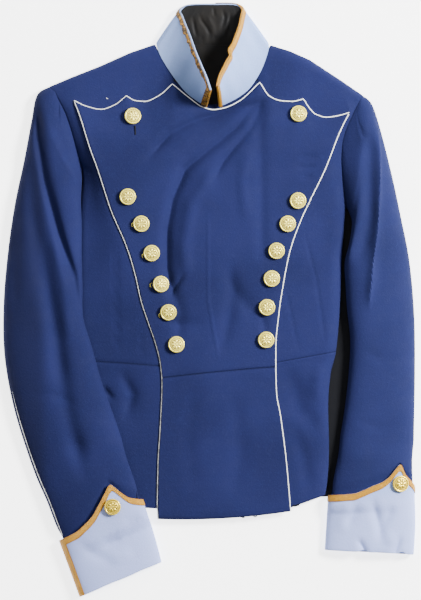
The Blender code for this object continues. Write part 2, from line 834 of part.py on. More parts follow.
def front_pieces(net):
    upper = range(WAIST_ROW, SHOULDER_ROW)
    lower = range(HEM_ROW, WAIST_ROW)
    right = range(0, CENTRE_COLUMN)
    left = range(CENTRE_COLUMN, LAST_COLUMN)
    middle = range(FIRST_PLASTRON_COLUMN, LAST_PLASTRON_COLUMN)
    pieces = {
        "front_right": wall("front_right", net, block(net, upper, right), -CLOTH, 0, "blue_wool"),
        "front_left": wall("front_left", net, block(net, upper, left), -CLOTH, 0, "blue_wool"),
        "skirt_right": wall("skirt_right", net, block(net, lower, right), -CLOTH, 0, "blue_wool"),
        "skirt_left": wall("skirt_left", net, block(net, lower, left), -CLOTH, 0, "blue_wool"),
    }
    bed, top = LIE_GAP, LIE_GAP + PLASTRON_CLOTH
    breast = block(net, range(PLASTRON_WAIST_ROW, SCALLOP_ROW), middle)
    pieces["plastron"] = wall("plastron", net, breast, bed, top, "blue_wool", plastron_trim)
    flap = block(net, range(PLASTRON_HEM_ROW, PLASTRON_WAIST_ROW), middle)
    pieces["plastron_skirt"] = wall("plastron_skirt", net, flap, bed, top, "blue_wool", plastron_trim)
    return pieces


def plastron_piping(net):
    """White piping up both edges of the plastron and along its top, lying on the fronts."""
    def line(keys):
        lift = LIE_GAP + PIPING_RADIUS
        return [net.points[key] + net.normals[key] * lift for key in keys]

    rows = range(PLASTRON_HEM_ROW, SCALLOP_ROW + 1)
    for name, column in (("right", FIRST_PLASTRON_COLUMN), ("left", LAST_PLASTRON_COLUMN)):
        points = line([(row, column) for row in rows])
        tip_room = (points[-1] - points[-2]).normalized() * 2 * (PIPING_RADIUS + SEAM_GAP)
        points[-1] = points[-1] - tip_room
        cord(f"piping_{name}", points, PIPING_RADIUS, "white_piping")
    columns = range(FIRST_PLASTRON_COLUMN, LAST_PLASTRON_COLUMN + 1)
    cord("piping_top", line([(SCALLOP_ROW, column) for column in columns]), PIPING_RADIUS, "white_piping")


LAP_ANGLES = (45, 0, -30, -60, -90)


def back_columns():
    """The front's column beside each of the back's columns, or None for those across the neck."""
    right = list(range(0, NECK_COLUMNS[0] + 1))
    left = list(range(NECK_COLUMNS[1], LAST_COLUMN + 1))
    return right + [None] * len(BACK_NECKLINE) + left


def lap_frame(column):
    """Seam point, outline point and the way out between them, for one column of a shoulder lap."""
    shoulder = shoulder_side(column)
    share = seam_share(column)
    seam, outline = on_path(shoulder.seam, share), on_path(shoulder.outline, share)
    return seam, outline, (outline - seam).normalized()


def back_net():
    """The back's outer side: flat on the surface, then rolled round each shoulder to the seam."""
    points, cells = {}, []
    columns = back_columns()
    last_flat = len(BACK_ROWS)
    for i, column in enumerate(columns):
        if column is None:
            continue
        _, outline, out = lap_frame(column)
        spot = outline - out * SHOULDER_TURN_IN
        points[last_flat, i] = Vector((*spot, 0))
    neck = [i for i, column in enumerate(columns) if column is None]
    for i, spot in zip(neck, BACK_NECKLINE):
        points[last_flat, i] = Vector((*spot, 0))
    x_first, x_last = points[last_flat, 0].x, points[last_flat, len(columns) - 1].x
    for row, spec in enumerate(BACK_ROWS):
        for i in range(len(columns)):
            share = (points[last_flat, i].x - x_first) / (x_last - x_first)
            x = mix(spec.x_right, spec.x_left, share)
            points[row, i] = Vector((x, mix(spec.y_right, spec.y_left, share), 0))
    half = SHOULDER_HEIGHT / 2
    for i, column in enumerate(columns):
        if column is None:
            continue
        seam, outline, out = lap_frame(column)
        depth = (outline - seam).length
        for step, degrees in enumerate(LAP_ANGLES, 1):
            angle = math.radians(degrees)
            run = SHOULDER_TURN_IN if degrees > 0 else depth
            spot = outline - out * run * (1 - math.cos(angle))
            points[last_flat + step, i] = Vector((*spot, half - half * math.sin(angle)))
    for row in range(last_flat + len(LAP_ANGLES)):
        for i in range(len(columns) - 1):
            corners = [(row, i), (row, i + 1), (row + 1, i), (row + 1, i + 1)]
            if all(key in points for key in corners):
                cells.append((row, i))
    return Net(points, cells, flip=True)


def share_seam_normals(front, back):
    """The fronts and the back lie alike along the shoulder seams."""
    top_row = len(BACK_ROWS) + len(LAP_ANGLES)
    for i, column in enumerate(back_columns()):
        if column is not None:
            normal = front.normals[SHOULDER_ROW, column] + back.normals[top_row, i]
            front.normals[SHOULDER_ROW, column] = normal.normalized()
            back.normals[top_row, i] = normal.normalized()


def back_lining():
    """A flat dark lining on the inside of the back, up to the neck."""
    points, cells = {}, []
    for column in range(LINING_COLUMNS + 1):
        share = column / LINING_COLUMNS
        for row, spec in enumerate(BACK_ROWS[:-1]):
            x = mix(spec.x_right + LINING_MARGIN, spec.x_left - LINING_MARGIN, share)
            points[row, column] = Vector((x, mix(spec.y_right, spec.y_left, share), LINING_BED))
        top = on_path(LINING_TOP, share)
        points[len(BACK_ROWS) - 1, column] = Vector((*top, LINING_BED))
    for row in range(len(BACK_ROWS) - 1):
        for column in range(LINING_COLUMNS):
            cells.append((row, column))
    net = Net(points, cells)
    return wall("back_lining", net, cells, 0, LINING, "dark_lining")


def collar_net():
    """The collar's outer face, round from the right front edge to the left, and from neck seam to top."""
    last = len(COLLAR) - 1
    steps = [0, COLLAR_END_STEP, *range(1, last), last - COLLAR_END_STEP, last]
    points, cells = {}, []
    for column, t in enumerate(steps):
        values = Ruling(*row_at(COLLAR, t))
        neck = Vector((values.neck_x, values.neck_y, max(values.neck_z, 0)))
        top = Vector((values.top_x, values.top_y, max(values.top_z, COLLAR_LEAST_Z)))
        for row, share in enumerate(COLLAR_ROWS):
            points[row, column] = neck.lerp(top, share)
            if row + 1 < len(COLLAR_ROWS) and column + 1 < len(steps):
                cells.append((row, column))
    return Net(points, cells, flip=True), len(steps) - 1


def on_neck(net, key, point):
    """The collar's bottom edge is cut level, so that no layer of it goes below the neck seam."""
    return max(point.z, net.points[key].z) if key[0] == 0 else point.z


def collar_pieces():
    net, last = collar_net()
    top_row = len(COLLAR_ROWS) - 2
    wall("collar", net, net.cells, -COLLAR_CLOTH, 0, "light_blue_wool", no_trim, on_neck)
    lace = [cell for cell in net.cells if cell[0] == top_row or cell[1] in (0, last - 1)]
    wall("collar_lace", net, lace, SEAM_GAP, SEAM_GAP + LACE_THICKNESS, "gold_lace", no_trim, on_neck)
    top = -COLLAR_CLOTH - COLLAR_LINING_GAP

    def lining_trim(first, second):
        return 0 if first[0] == second[0] == 0 else COLLAR_LINING_MARGIN

    wall("collar_lining", net, net.cells, top - LINING, top, "dark_lining", lining_trim, on_neck)


def armhole_ring(side, front, back):
    """The sleeve's first ring: over the shoulder lap, down the front's armhole and back along the surface."""
    column = 0 if side == "right" else LAST_COLUMN
    lap_column = 0 if side == "right" else max(key[1] for key in back.points)
    lap_rows = len(BACK_ROWS)
    upper = [back.points[lap_rows + step, lap_column] for step in (2, 3, 4)]
    upper += [front.points[row, column] for row in range(SHOULDER_ROW, UNDERARM_ROW - 1, -1)]
    under = [back.points[row, lap_column] for row in range(BACK_UNDERARM_ROW, lap_rows + 2)]
    ring = upper + under
    moved = []
    outward = -1 if side == "right" else 1
    for i, point in enumerate(ring):
        along = ring[(i + 1) % len(ring)] - ring[i - 1]
        across = Vector((-along.y, along.x, 0))
        if across.length < 1e-6 or across.x * outward < 0:
            across = -across
        if across.x * outward <= 0:
            across = Vector((outward, 0, 0))
        moved.append(point + across.normalized() * ARMHOLE_GAP)
    return moved, len(upper) - 1


def arm_steps(side):
    wrist = WRIST[side]
    return [
        *ARM_STEPS_AT_HEAD,
        *(4, 5, 5.6, 6.3, 7, 7.5, 8, 8.5),
        *range(9, wrist),
        wrist - 0.65,
        wrist - 0.3,
        wrist,
        wrist + 1,
        wrist + 2,
    ]


def arm_ring(side, t, upper_cells, bed):
    """One ring of a sleeve without its head: over the top from outer to inner edge, and back below."""
    values = Arm(*row_at(ARMS[side], t))
    outer = Vector((values.outer_x, values.outer_y))
    inner = Vector((values.inner_x, values.inner_y))
    across = (inner - outer).normalized()
    in_cuff = ease((t - WRIST[side] + CUFF_NARROWS_ABOVE) / CUFF_NARROWS_OVER)
    outer, inner = outer + across * CUFF_INSET * in_cuff, inner - across * CUFF_INSET * in_cuff
    width = (inner - outer).length
    raised = (CLOTH + LIE_GAP + CUFF_ROOM) * in_cuff
    heights = {
        "outer": support_height(bed, outer, inner, across) + OUTER_PARTING + raised,
        "inner": support_height(bed, inner, inner, across) + INNER_PARTING + raised,
    }
    ring = []
    for j in range(upper_cells + 1):
        share = (1 - math.cos(math.pi * j / upper_cells)) / 2
        from_peak, to_peak = CUFF_PEAK[side]
        pull = math.exp(-(((share - from_peak) / PEAK_PULL_WIDTH) ** 2))
        pull *= ease((t - WRIST[side] + PEAK_PULL_ABOVE) / PEAK_PULL_OVER)
        share += (to_peak - from_peak) * pull
        spot = outer.lerp(inner, share)
        dome = max(1 - abs(2 * share - 1) ** SLEEVE_FLATNESS, 0) ** (1 / SLEEVE_FLATNESS)
        z = mix(heights["outer"], heights["inner"], share) + values.loft * dome
        z += fold_height(SLEEVE_FOLDS, *spot) * dome
        ring.append(Vector((*spot, z)))
    near = [*UNDER_EDGES, width * UNDER_SHARE]
    from_inner = [*near, *(width - distance for distance in reversed(near))]
    for j, distance in enumerate(from_inner):
        spot = inner - across * distance
        z = support_height(bed, spot, inner, across) + raised
        if j in (0, len(from_inner) - 1):
            z += EDGE_LIFT
        ring.append(Vector((*spot, z)))
    return ring


def arm_net(side, front, back, bed):
    """The whole sleeve's outer side, with rings running on to the cuff's end."""
    head, upper_cells = armhole_ring(side, front, back)
    plain_head = arm_ring(side, 0, upper_cells, bed)
    steps = arm_steps(side)
    points, cells = {}, []
    for row, t in enumerate(steps):
        fade = max(0, 1 - t / HEAD_FADE) ** HEAD_FADE_POWER
        ring = arm_ring(side, t, upper_cells, bed)
        for column, point in enumerate(ring):
            points[row, column] = point + (head[column] - plain_head[column]) * fade
            if row + 1 < len(steps):
                cells.append((row, column))
    net = Net(points, cells, around=len(head), flip=side == "right")
    return net, upper_cells, steps


def edge_rise(side, net, wrist, upper_cells, column):
    """How far the cuff's upper edge rises above the wrist line at a column; below, it is straight."""
    if column > upper_cells:
        return 0
    outer, inner = net.points[wrist, 0], net.points[wrist, upper_cells]
    share = (net.points[wrist, column] - outer).dot(inner - outer) / (inner - outer).length_squared
    return value_at(CUFF_RISE[side], share)


def sampled_net(arm, side, row_places):
    """A net whose rows lie at given places, counted in rows, along each column of the sleeve's net."""
    points, normals, cells = {}, {}, []
    last = max(key[0] for key in arm.points)
    for column in range(arm.around):
        places = row_places(column)
        for row, place in enumerate(places):
            start = min(int(place), last - 1)
            points[row, column], normals[row, column] = arm.between(start, column, place - start)
            if row + 1 < len(places):
                cells.append((row, column))
    net = Net(points, cells, around=arm.around, flip=side == "right")
    net.normals = normals
    return net


def sleeve_pieces(side, arm, upper_cells, steps):
    """Upper and under panel of a sleeve, meeting along its two edges and ending inside the cuff."""
    wrist = steps.index(WRIST[side])
    plain_rows = list(range(steps.index(WRIST[side] - 1) + 1))

    def row_places(column):
        line = [arm.points[row, column] for row in range(len(steps))]
        rise = edge_rise(side, arm, wrist, upper_cells, column)
        edge, end = (run_back(line, wrist, rise - past) for past in (0, SLEEVE_PAST_CUFF_EDGE))
        return [*plain_rows, edge, end]

    net = sampled_net(arm, side, row_places)
    upper = [cell for cell in net.cells if cell[1] < upper_cells]
    under = [cell for cell in net.cells if cell[1] >= upper_cells]
    wall(f"sleeve_upper_{side}", net, upper, -CLOTH, 0, "blue_wool")
    wall(f"sleeve_under_{side}", net, under, -CLOTH, 0, "blue_wool")


def sleeve_piping(side, arm, steps):
    """White piping in the hind-arm seam, from below the elbow to the cuff."""
    first = int(PIPED_FROM)
    spots = [arm.between(steps.index(first), 0, PIPED_FROM - first)]
    for row in range(steps.index(first) + 1, steps.index(WRIST[side]) + 1):
        spots.append((arm.points[row, 0], arm.normals[row, 0]))
    line = [point + normal * (PIPING_RADIUS + LIE_GAP) for point, normal in spots]
    line[-1] = line[-1].lerp(line[-2], PIPING_END_TRIM)
    cord(f"sleeve_piping_{side}", line, PIPING_RADIUS, "white_piping")


def cuff_pieces(side, arm, upper_cells, steps):
    """A cuff round the sleeve's end with a pointed upper edge, and the lace along it."""
    wrist, last = steps.index(WRIST[side]), len(steps) - 1

    def row_places(column):
        line = [arm.points[row, column] for row in range(len(steps))]
        rise = edge_rise(side, arm, wrist, upper_cells, column)
        edge = run_back(line, wrist, rise)
        lace = run_back(line, wrist, rise - LACE_WIDTH)
        return [edge, lace, *(mix(lace, last, share) for share in CUFF_ROW_SHARES), last]

    net = sampled_net(arm, side, row_places)
    bed, top = LIE_GAP, LIE_GAP + CLOTH
    cuff = wall(f"cuff_{side}", net, net.cells, bed, top, "light_blue_wool", no_trim)
    lace = [cell for cell in net.cells if cell[0] == 0 and cell[1] < upper_cells]
    if side == "right":
        lace += [cell for cell in net.cells if cell[0] > 0 and cell[1] < SLIT_LACE_CELLS]
    bed = top + SEAM_GAP
    wall(f"cuff_lace_{side}", net, lace, bed, bed + LACE_THICKNESS, "gold_lace", no_trim)
    return cuff


def run_back(line, row, distance):
    """The row position at a distance above a row of a line of points, or below it if negative."""
    step = -1 if distance > 0 else 1
    left = abs(distance)
    while 0 < row < len(line) - 1 or left == abs(distance):
        length = (line[row + step] - line[row]).length
        if left <= length:
            return row + step * left / length
        left -= length
        row += step
    return row


def button_mesh():
    """Half outline of a domed button on its shank, to be turned about Z."""
    outline = (
        (0, BUTTON_HEIGHT),
        (5.5, BUTTON_HEIGHT - 0.7),
        (9.2, 3.6),
        (BUTTON_RADIUS, 2.1),
        (9.6, 1.3),
        (2.2, 1.3),
        (2.2, 0),
        (0, 0),
    )
    mesh = bpy.data.meshes.new("button")
    points = [(x * MM, 0, z * MM) for x, z in outline]
    mesh.from_pydata(points, [(i, i + 1) for i in range(len(points) - 1)], [])
    mesh.materials.append(material("gilt_brass"))
    return mesh


def button(name, mesh, tree, x, y):
    """A button standing on the cloth at (x, y), square to it."""
    spot, normal = drop_on(tree, x, y)
    obj = bpy.data.objects.new(name, mesh)
    obj.location = (spot + normal * BUTTON_LIFT) * MM
    obj.rotation_mode = "QUATERNION"
    obj.rotation_quaternion = Vector((0, 0, 1)).rotation_difference(normal)
    turn = obj.modifiers.new("turn", "SCREW")
    turn.axis = "Z"
    turn.angle = math.tau
    turn.steps = BUTTON_STEPS
    turn.render_steps = BUTTON_STEPS
    turn.use_merge_vertices = True
    turn.merge_threshold = 0.00001
    turn.use_smooth_shade = True
    bpy.data.collections["military_tunic"].objects.link(obj)


def main():
    clear_scene()
    collection = bpy.data.collections.new("military_tunic")
    bpy.context.scene.collection.children.link(collection)
    front, back = front_net(), back_net()
    share_seam_normals(front, back)
    pieces = front_pieces(front)
    plastron_piping(front)
    back_piece = wall("back", back, back.cells, -CLOTH, 0, "blue_wool")
    lining_piece = back_lining()
    collar_pieces()
    beneath = {
        "right": tree_of(pieces["front_right"], pieces["skirt_right"]),
        "left": tree_of(back_piece, lining_piece),
    }
    mesh = button_mesh()
    for side, tree in beneath.items():
        arm, upper_cells, steps = arm_net(side, front, back, (tree, LIES_OVER_BELOW[side]))
        sleeve_pieces(side, arm, upper_cells, steps)
        if side == "right":
            sleeve_piping(side, arm, steps)
        cuff = cuff_pieces(side, arm, upper_cells, steps)
        button(f"cuff_button_{side}", mesh, tree_of(cuff), *CUFF_BUTTONS[side])
        for number, place in enumerate(BUTTONS[side], 1):
            button(f"button_{side}_{number}", mesh, tree_of(pieces["plastron"]), *place)


main()
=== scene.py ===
"""Dresses the military tunic: the part's own nets made finer, with creases, seams and finishes.

Sizes in the tables are in millimetres. X runs to the wearer's left, Y from hem to collar, Z up from
the surface that the tunic lies on. Each piece of cloth is a thin shell that stands for one CAD node.
"""

import json
import math
from collections import namedtuple

import bpy
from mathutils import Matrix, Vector
from mathutils.bvhtree import BVHTree

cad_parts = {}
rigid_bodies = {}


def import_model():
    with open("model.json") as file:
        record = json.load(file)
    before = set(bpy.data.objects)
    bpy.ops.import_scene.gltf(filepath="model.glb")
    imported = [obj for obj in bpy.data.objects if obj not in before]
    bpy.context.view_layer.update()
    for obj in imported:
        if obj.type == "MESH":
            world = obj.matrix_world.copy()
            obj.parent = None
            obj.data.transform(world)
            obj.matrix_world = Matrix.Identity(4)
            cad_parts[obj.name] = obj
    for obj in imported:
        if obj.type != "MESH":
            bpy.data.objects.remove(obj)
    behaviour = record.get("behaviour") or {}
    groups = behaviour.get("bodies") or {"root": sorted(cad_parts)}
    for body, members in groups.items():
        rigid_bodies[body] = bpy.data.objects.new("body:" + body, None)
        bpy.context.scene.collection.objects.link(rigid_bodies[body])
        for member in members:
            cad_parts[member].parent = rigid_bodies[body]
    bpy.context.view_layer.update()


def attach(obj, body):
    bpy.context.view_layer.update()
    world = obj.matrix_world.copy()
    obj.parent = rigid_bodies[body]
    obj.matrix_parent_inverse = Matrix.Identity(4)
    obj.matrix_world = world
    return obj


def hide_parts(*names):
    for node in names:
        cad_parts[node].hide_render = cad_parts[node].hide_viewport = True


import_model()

MM = 0.001

# Walls and gaps
CLOTH = 2.0
PLASTRON_CLOTH = 2.4
COLLAR_CLOTH = 2.4
LINING = 1.0
LACE_THICKNESS = 1.0
LACE_WIDTH = 8.5
PIPING_RADIUS = 0.75
SLEEVE_PIPING_RADIUS = 0.5
SLEEVE_PIPING_TAPER = 8
LIE_GAP = 0.4
SEWN_LIFT = 0.1
SEAM_GAP = 0.3
PIPING_ROOM = 0.7
ARMHOLE_GAP = -0.7
SEAM_LINE = 0.1
SEAM_ROLL = 0.7
HEM_ROLL = 0.6
STRAIGHT_ON = 0.98

# Heights above the surface
LINING_BED = CLOTH + SEAM_GAP
SHOULDER_HEIGHT = 13.2
OUTER_PARTING = 3.8
INNER_PARTING = 2.4

# Buttons
BUTTON_RADIUS = 10.4
BUTTON_HEIGHT = 6.2
BUTTON_STEPS = 64
PETALS = 8
PETAL_RELIEF = 0.32
PETAL_RINGS = (3, 4, 5)
HOLLOW_RINGS = (1, 6, 10)
# A button's outline: radius and depth below its top across the face, then radius and height above the cloth
# down its side and shank
BUTTON_FACE = (
    (1.3, 0.1), (1.8, 0.35), (2.2, 0.1), (3.2, 0.15), (4.2, 0.2), (5.2, 0.4), (6.0, 0.75), (6.5, 0.6),
    (7.0, 0.75), (7.5, 1.5), (8.1, 2.0), (8.6, 1.6), (9.2, 1.4), (9.8, 1.6), (10.2, 2.2),
)
BUTTON_SIDE = ((BUTTON_RADIUS, 3.2), (10.2, 2.3), (9.4, 1.6), (2.2, 1.3), (2.2, 0))

# Cuts across the front, from hem to scalloped edge: Y at five places, then Z at seven
Cut = namedtuple(
    "Cut",
    "y_right y_plastron_right y_mid y_plastron_left y_left"
    " z_right_edge z_right z_plastron_right z_mid z_plastron_left z_left z_left_edge",
)
HEM, SKIRT, PLASTRON_WAIST, WAIST, RIBS, UNDERARM, CHEST, SCALLOP = range(8)
CUTS = {
    HEM: Cut(-258, -263, -268, -262, -246, 4.5, 6.5, 10.5, 11, 11, 10.5, 5.4),
    SKIRT: Cut(-163, -171, -176, -171, -157, 4.5, 6.5, 12, 13, 13, 13, 5.4),
    PLASTRON_WAIST: Cut(-89, -98, -90, -84, -71, 4.5, 7, 14.5, 16, 15.5, 15, 5.4),
    WAIST: Cut(-76, -83, -80, -79, -65, 4.5, 7.5, 15, 16.5, 16, 15.5, 5.4),
    RIBS: Cut(38, 32, 32, 36, 38, 4.5, 9, 19, 21, 20, 17, 5.4),
    UNDERARM: Cut(166, 151, 139, 129, 118, 5.2, 9.5, 21, 24, 23, 17, 6),
    CHEST: Cut(206, 202, 192, 182, 172, 11, 15, 20, 23, 22, 17, 11),
    SCALLOP: Cut(254, 251, 240, 236, 238, 13, 14.5, 15.5, 13, 15.5, 14.5, 13),
}
PLASTRON_HEM_Y = (-276, -275, -266)
PLASTRON_HEM_DROP = 0.5

# Side edges of the fronts, as (Y, X), from hem to shoulder seam
RIGHT_SIDE = (
    (-258, -157), (-188, -159), (-125, -159), (-75, -162), (1, -166), (95, -165), (125, -163),
    (140, -161.5), (150, -160.5), (166, -161.5), (177, -166), (196, -171), (215, -176), (236, -183),
    (256, -193), (263, -196),
)
LEFT_SIDE = (
    (-246, 145), (-226, 148), (-188, 150), (-132, 149), (-94, 152), (-65, 159), (-6, 164), (45, 166),
    (95, 169), (118, 170), (139, 168), (158, 166), (177, 165), (196, 166), (215, 171), (229, 177),
    (246, 185), (251, 188),
)
SIDE_ROLL = {"right": 8, "left": 16}
MOST_ROLL_SHARE = 0.95
SIDE_SEAM_SHARE = 0.19

# The plastron's side edges, as (Y, X), along the middle of the piping
PLASTRON_RIGHT_EDGE = (
    (-276, -66), (-261, -67), (-206, -66), (-156, -63), (-105, -61), (-81, -63), (-62, -67), (-26, -79),
    (-2, -87), (29, -94), (54, -101), (76, -109), (95, -117.5), (114, -125.5), (140, -134), (166, -142.5),
    (192, -152), (230, -164), (251, -172),
)
PLASTRON_LEFT_EDGE = (
    (-266, 101), (-200, 95), (-146, 88), (-117, 83), (-81, 82), (-62, 82), (-16, 86), (23, 92), (62, 100),
    (99, 113), (129, 127), (164, 144), (212, 163), (236, 175),
)

# The plastron's top edge: scallops between peaks, and the stretch along the collar, as (X, Y)
Scallop = namedtuple("Scallop", "cells points")
TOP_EDGE = (
    Scallop(4, ((-172, 251), (-157, 244), (-138, 240), (-120, 246), (-106, 257))),
    Scallop(4, ((-106, 257), (-95, 251), (-83, 250), (-64, 258), (-48, 272))),
    Scallop(8, ((-48, 272), (-26, 254), (-10, 243), (3, 240), (16, 242), (38, 252), (62, 274))),
    Scallop(4, ((62, 274), (74, 257), (88, 251), (103, 250), (117, 253))),
    Scallop(4, ((117, 253), (124, 242), (132, 234), (146, 230), (161, 232), (175, 236))),
)
NECK_CENTRE = (3, 285)
NECK_TURN_IN = 6.5

# Shoulder seams from armhole to collar, the outline outside them, and the cloth under the collar, as (X, Y)
Shoulder = namedtuple("Shoulder", "seam outline under_collar")
SHOULDERS = {
    "right": Shoulder(
        ((-196, 263), (-171, 274), (-139, 287), (-105, 298), (-60, 303)),
        ((-203, 269), (-177, 280), (-139, 295), (-101, 312), (-70, 322.5)),
        ((-43, 284), (-52, 296)),
    ),
    "left": Shoulder(
        ((188, 251), (169, 263), (144, 279), (113, 297), (66, 304)),
        ((192, 258), (163, 278), (125, 303), (100, 314), (75.5, 321.5)),
        ((55, 283), (61.5, 296)),
    ),
}
SHOULDER_TURN_IN = 8

# Where and how far the plastron's upper right edge stands off, by Y
STAND_OFF = 1.8
STAND_OFF_FROM = (150, 262)
STAND_OFF_EASE = 30
STAND_OFF_WIDTH = 12

# The back's side edges from hem to armhole, as (Y at right side, X, Y at left side, X)
BackRow = namedtuple("BackRow", "y_right x_right y_left x_left")
BACK_ROWS = (
    BackRow(-254, -154, -248, 154),
    BackRow(-176, -158, -176, 168),
    BackRow(-75, -161, -75, 180),
    BackRow(40, -165.5, 40, 178),
    BackRow(110, -164, 99, 179.5),
    BackRow(150, -160.5, 108, 175),
    BackRow(166, -161.5, 118, 170),
    BackRow(196, -171, 177, 165),
    BackRow(236, -183, 222, 173.5),
    BackRow(259, -194, 248, 186),
)
BACK_NECKLINE = (
    (-62.5, 321.8), (-54, 322.8), (-27, 320.6), (3, 319.5), (32, 320.6), (57, 322.8), (67, 321.6),
)
BACK_UNDERARM_ROW = 6
BACK_UNDERLAP = 4
UNDERLAP_EASE = 5
UNDERLAP_FROM_Y = -200
UNDERLAP_RUN = 100
LINING_MARGIN = 2
LINING_COLUMNS = 60
NECK_HALF_WIDTH = 63
LINING_TURN_UP = 3
COLLAR_LINING_FOOT = 4.4
LINING_TOP = (
    (-184, 243), (-130, 272), (-76, 296), (-60, 318.5), (62, 318.5), (80, 292), (130, 266), (176, 230),
)

# Collar: rulings from neck seam to top edge on its outer face, round from the right front edge to the left
Ruling = namedtuple("Ruling", "neck_x neck_y neck_z top_x top_y top_z")
COLLAR = (
    Ruling(-6, 243, 16.6, -1, 263, 63),
    Ruling(-20, 252, 14.6, -6, 279, 56.5),
    Ruling(-32, 262, 13.9, -13, 296, 49),
    Ruling(-45, 278, 13.9, -20, 314, 41),
    Ruling(-55, 293, 13.9, -26, 332, 32),
    Ruling(-63, 307, 13.8, -32, 348, 22),
    Ruling(-67, 317, 12, -36.5, 360, 14.5),
    Ruling(-68.4, 321.5, 9, -39, 364, 10.5),
    Ruling(-68.6, 324.5, 5, -38, 368, 6.5),
    Ruling(-64, 325.5, 1.2, -32, 372, 3),
    Ruling(-54, 323.5, 0, -23, 373.5, 1.8),
    Ruling(-32, 321.5, 0, -9, 374, 1.7),
    Ruling(3, 320, 0, 6, 374, 1.7),
    Ruling(37, 321.5, 0, 22, 374, 1.7),
    Ruling(57, 323.5, 0, 30, 373.5, 1.8),
    Ruling(67, 324.5, 1.2, 35.5, 372.5, 3),
    Ruling(73, 324, 5, 40, 369.5, 6.5),
    Ruling(74, 321, 9, 41, 366, 10.5),
    Ruling(73.5, 316, 12, 40, 361, 14.5),
    Ruling(69, 301, 13.9, 37, 346, 24),
    Ruling(62, 285, 13.9, 31, 329, 32),
    Ruling(50, 267, 13.9, 25, 313, 37),
    Ruling(37, 256, 13.9, 20, 297, 45),
    Ruling(24, 248.5, 14.6, 13, 282, 53),
    Ruling(12, 243, 16.6, 9.5, 268, 60),
)
COLLAR_ROWS = 19
COLLAR_FINER = 6
COLLAR_LINING_MARGIN = 4
# Cells of the net that the lace covers below the top edge and in from the ends
LACE_CELLS = {"right": 3, "left": 2}
LACE_END_CELLS = {"right": 3, "left": 2}
TURN_DEPTHS = (0.6, 1.5, 2.5)
TURN_RISE = 0.3
TOP_FRAY = 0.8
LOW_FRAY = 3.2
# Nicks in the left front edge: size in millimetres, place and width in rulings
COLLAR_NOTCH = ((-2.0, 20.85, 0.3), (2.6, 21.35, 0.3))
SATIN_FINER = 14
SATIN_ROWS = 34
SATIN_SLACK = 1.5
COLLAR_LOWEST_TOP = 1.7
# Waves, each with its size, pace and start, along the collar in rulings and along its lace in columns
COLLAR_WAVES = ((0.5, 1.9, 0.6), (0.35, 4.3, 0))
FRAY_WAVES = ((0.35, 1.3, 0), (0.3, 2.9, 1), (0.2, 0.4, 0))
FRAY_MIDDLE = 0.5
# The satin's gathers: size and pace of each wave, then how far, how fast and from where its pace sways
GATHERS = ((1, 9.2, 1.4, 1.7, 0), (0.6, 17.3, 2.2, 2.9, 1))
GATHER_DEPTH = 0.2
GATHER_EASING = 0.6
SATIN_HELD = 5

# Sleeves: the outer and inner edge seen from above, and the loft, from armhole to cuff end
Arm = namedtuple("Arm", "outer_x outer_y inner_x inner_y loft")
ARMS = {
    "right": (
        Arm(-203, 269, -162.5, 167, 17),
        Arm(-219, 258, -162, 149, 19),
        Arm(-226, 225, -163, 125, 21),
        Arm(-235, 177, -162, 95, 22),
        Arm(-247, 120, -162, 59, 22),
        Arm(-256, 57, -161, 18, 22),
        Arm(-261, -6, -160, -22, 21),
        Arm(-260, -69, -149, -60, 20),
        Arm(-249, -132, -137, -103, 19),
        Arm(-231, -192, -123, -142, 17),
        Arm(-208, -255, -103, -198, 15),
        Arm(-190, -303, -85, -250, 13),
        Arm(-176, -341, -71, -293, 12),
        Arm(-164, -374, -61, -330, 11),
    ),
    "left": (
        Arm(192, 258, 171, 118, 17),
        Arm(204, 246, 178, 99, 19),
        Arm(216, 209, 175, 72, 21),
        Arm(229, 157, 169, 47, 22),
        Arm(240, 106, 170, 20, 22),
        Arm(251, 49, 172, -12, 22),
        Arm(257, -18, 176, -51, 21),
        Arm(258, -85, 174, -93, 20),
        Arm(257, -151, 168, -144, 18),
        Arm(256, -201, 159, -195, 16),
        Arm(257, -241, 149, -246, 14),
        Arm(258, -282, 146, -284, 12),
        Arm(256, -321, 144, -315, 11),
    ),
}
WRIST = {"right": 11, "left": 10}
HEAD_FADE = 0.8
HEAD_FADE_POWER = 1.8
SLEEVE_FLATNESS = 2.6
CUFF_INSET = 2.2
SLEEVE_PAST_CUFF_EDGE = 5
CUFF_ROOM = 0.2
# Rings before the wrist where a change starts, and how many it takes: going into the cuff, and its columns
# being drawn to the cuff's peak
INTO_CUFF = (1.6, 0.7)
TO_CUFF_PEAK = (2, 1.2)
CUFF_PEAK_WIDTH = 0.15
# The under panel's columns: millimetres from either edge, and shares of the width between them
UNDER_EDGES = (3, 9)
UNDER_MIDDLE = (0.36, 0.64)
PIPED_FROM = 7.75
PIPING_COLUMN = 8
# How high a sleeve lies over what is beneath it, and how far beside a place that still holds it up
REST_MARGIN = 1.6
EDGE_LIFT = 0.8
ARMHOLE_FADE = 22
REACH_BESIDE_BODY = 7
REACH_ACROSS_BODY = 24
REACH_CHANGE = 60
REACH_HOLD = 0.5
REACH_STEPS = 10
REACH_PAST_EDGE = 0.1
HIGHEST_BED = 12
ARM_FINER = 6
ARM_ROWS = 11
UNDER_FINER = 3
ROLL_STEPS = 3
SHOULDER_STEPS = 3
UPPER_STEPS = 12
ARMHOLE_CUTS = ((0, 7), (1, 6.75), (2, 6.5), (3, 6.25), (4, 6), (5, 5.5), (6, 5))
LACE_ROWS = 4
CUFF_ROWS = 22
LACE_ROLL = 0.3
UNDER_CREASE_SHARE = 0.3
# A sleeve lies over what is beneath it below this Y
LIES_OVER_BELOW = {"right": 158, "left": 124}

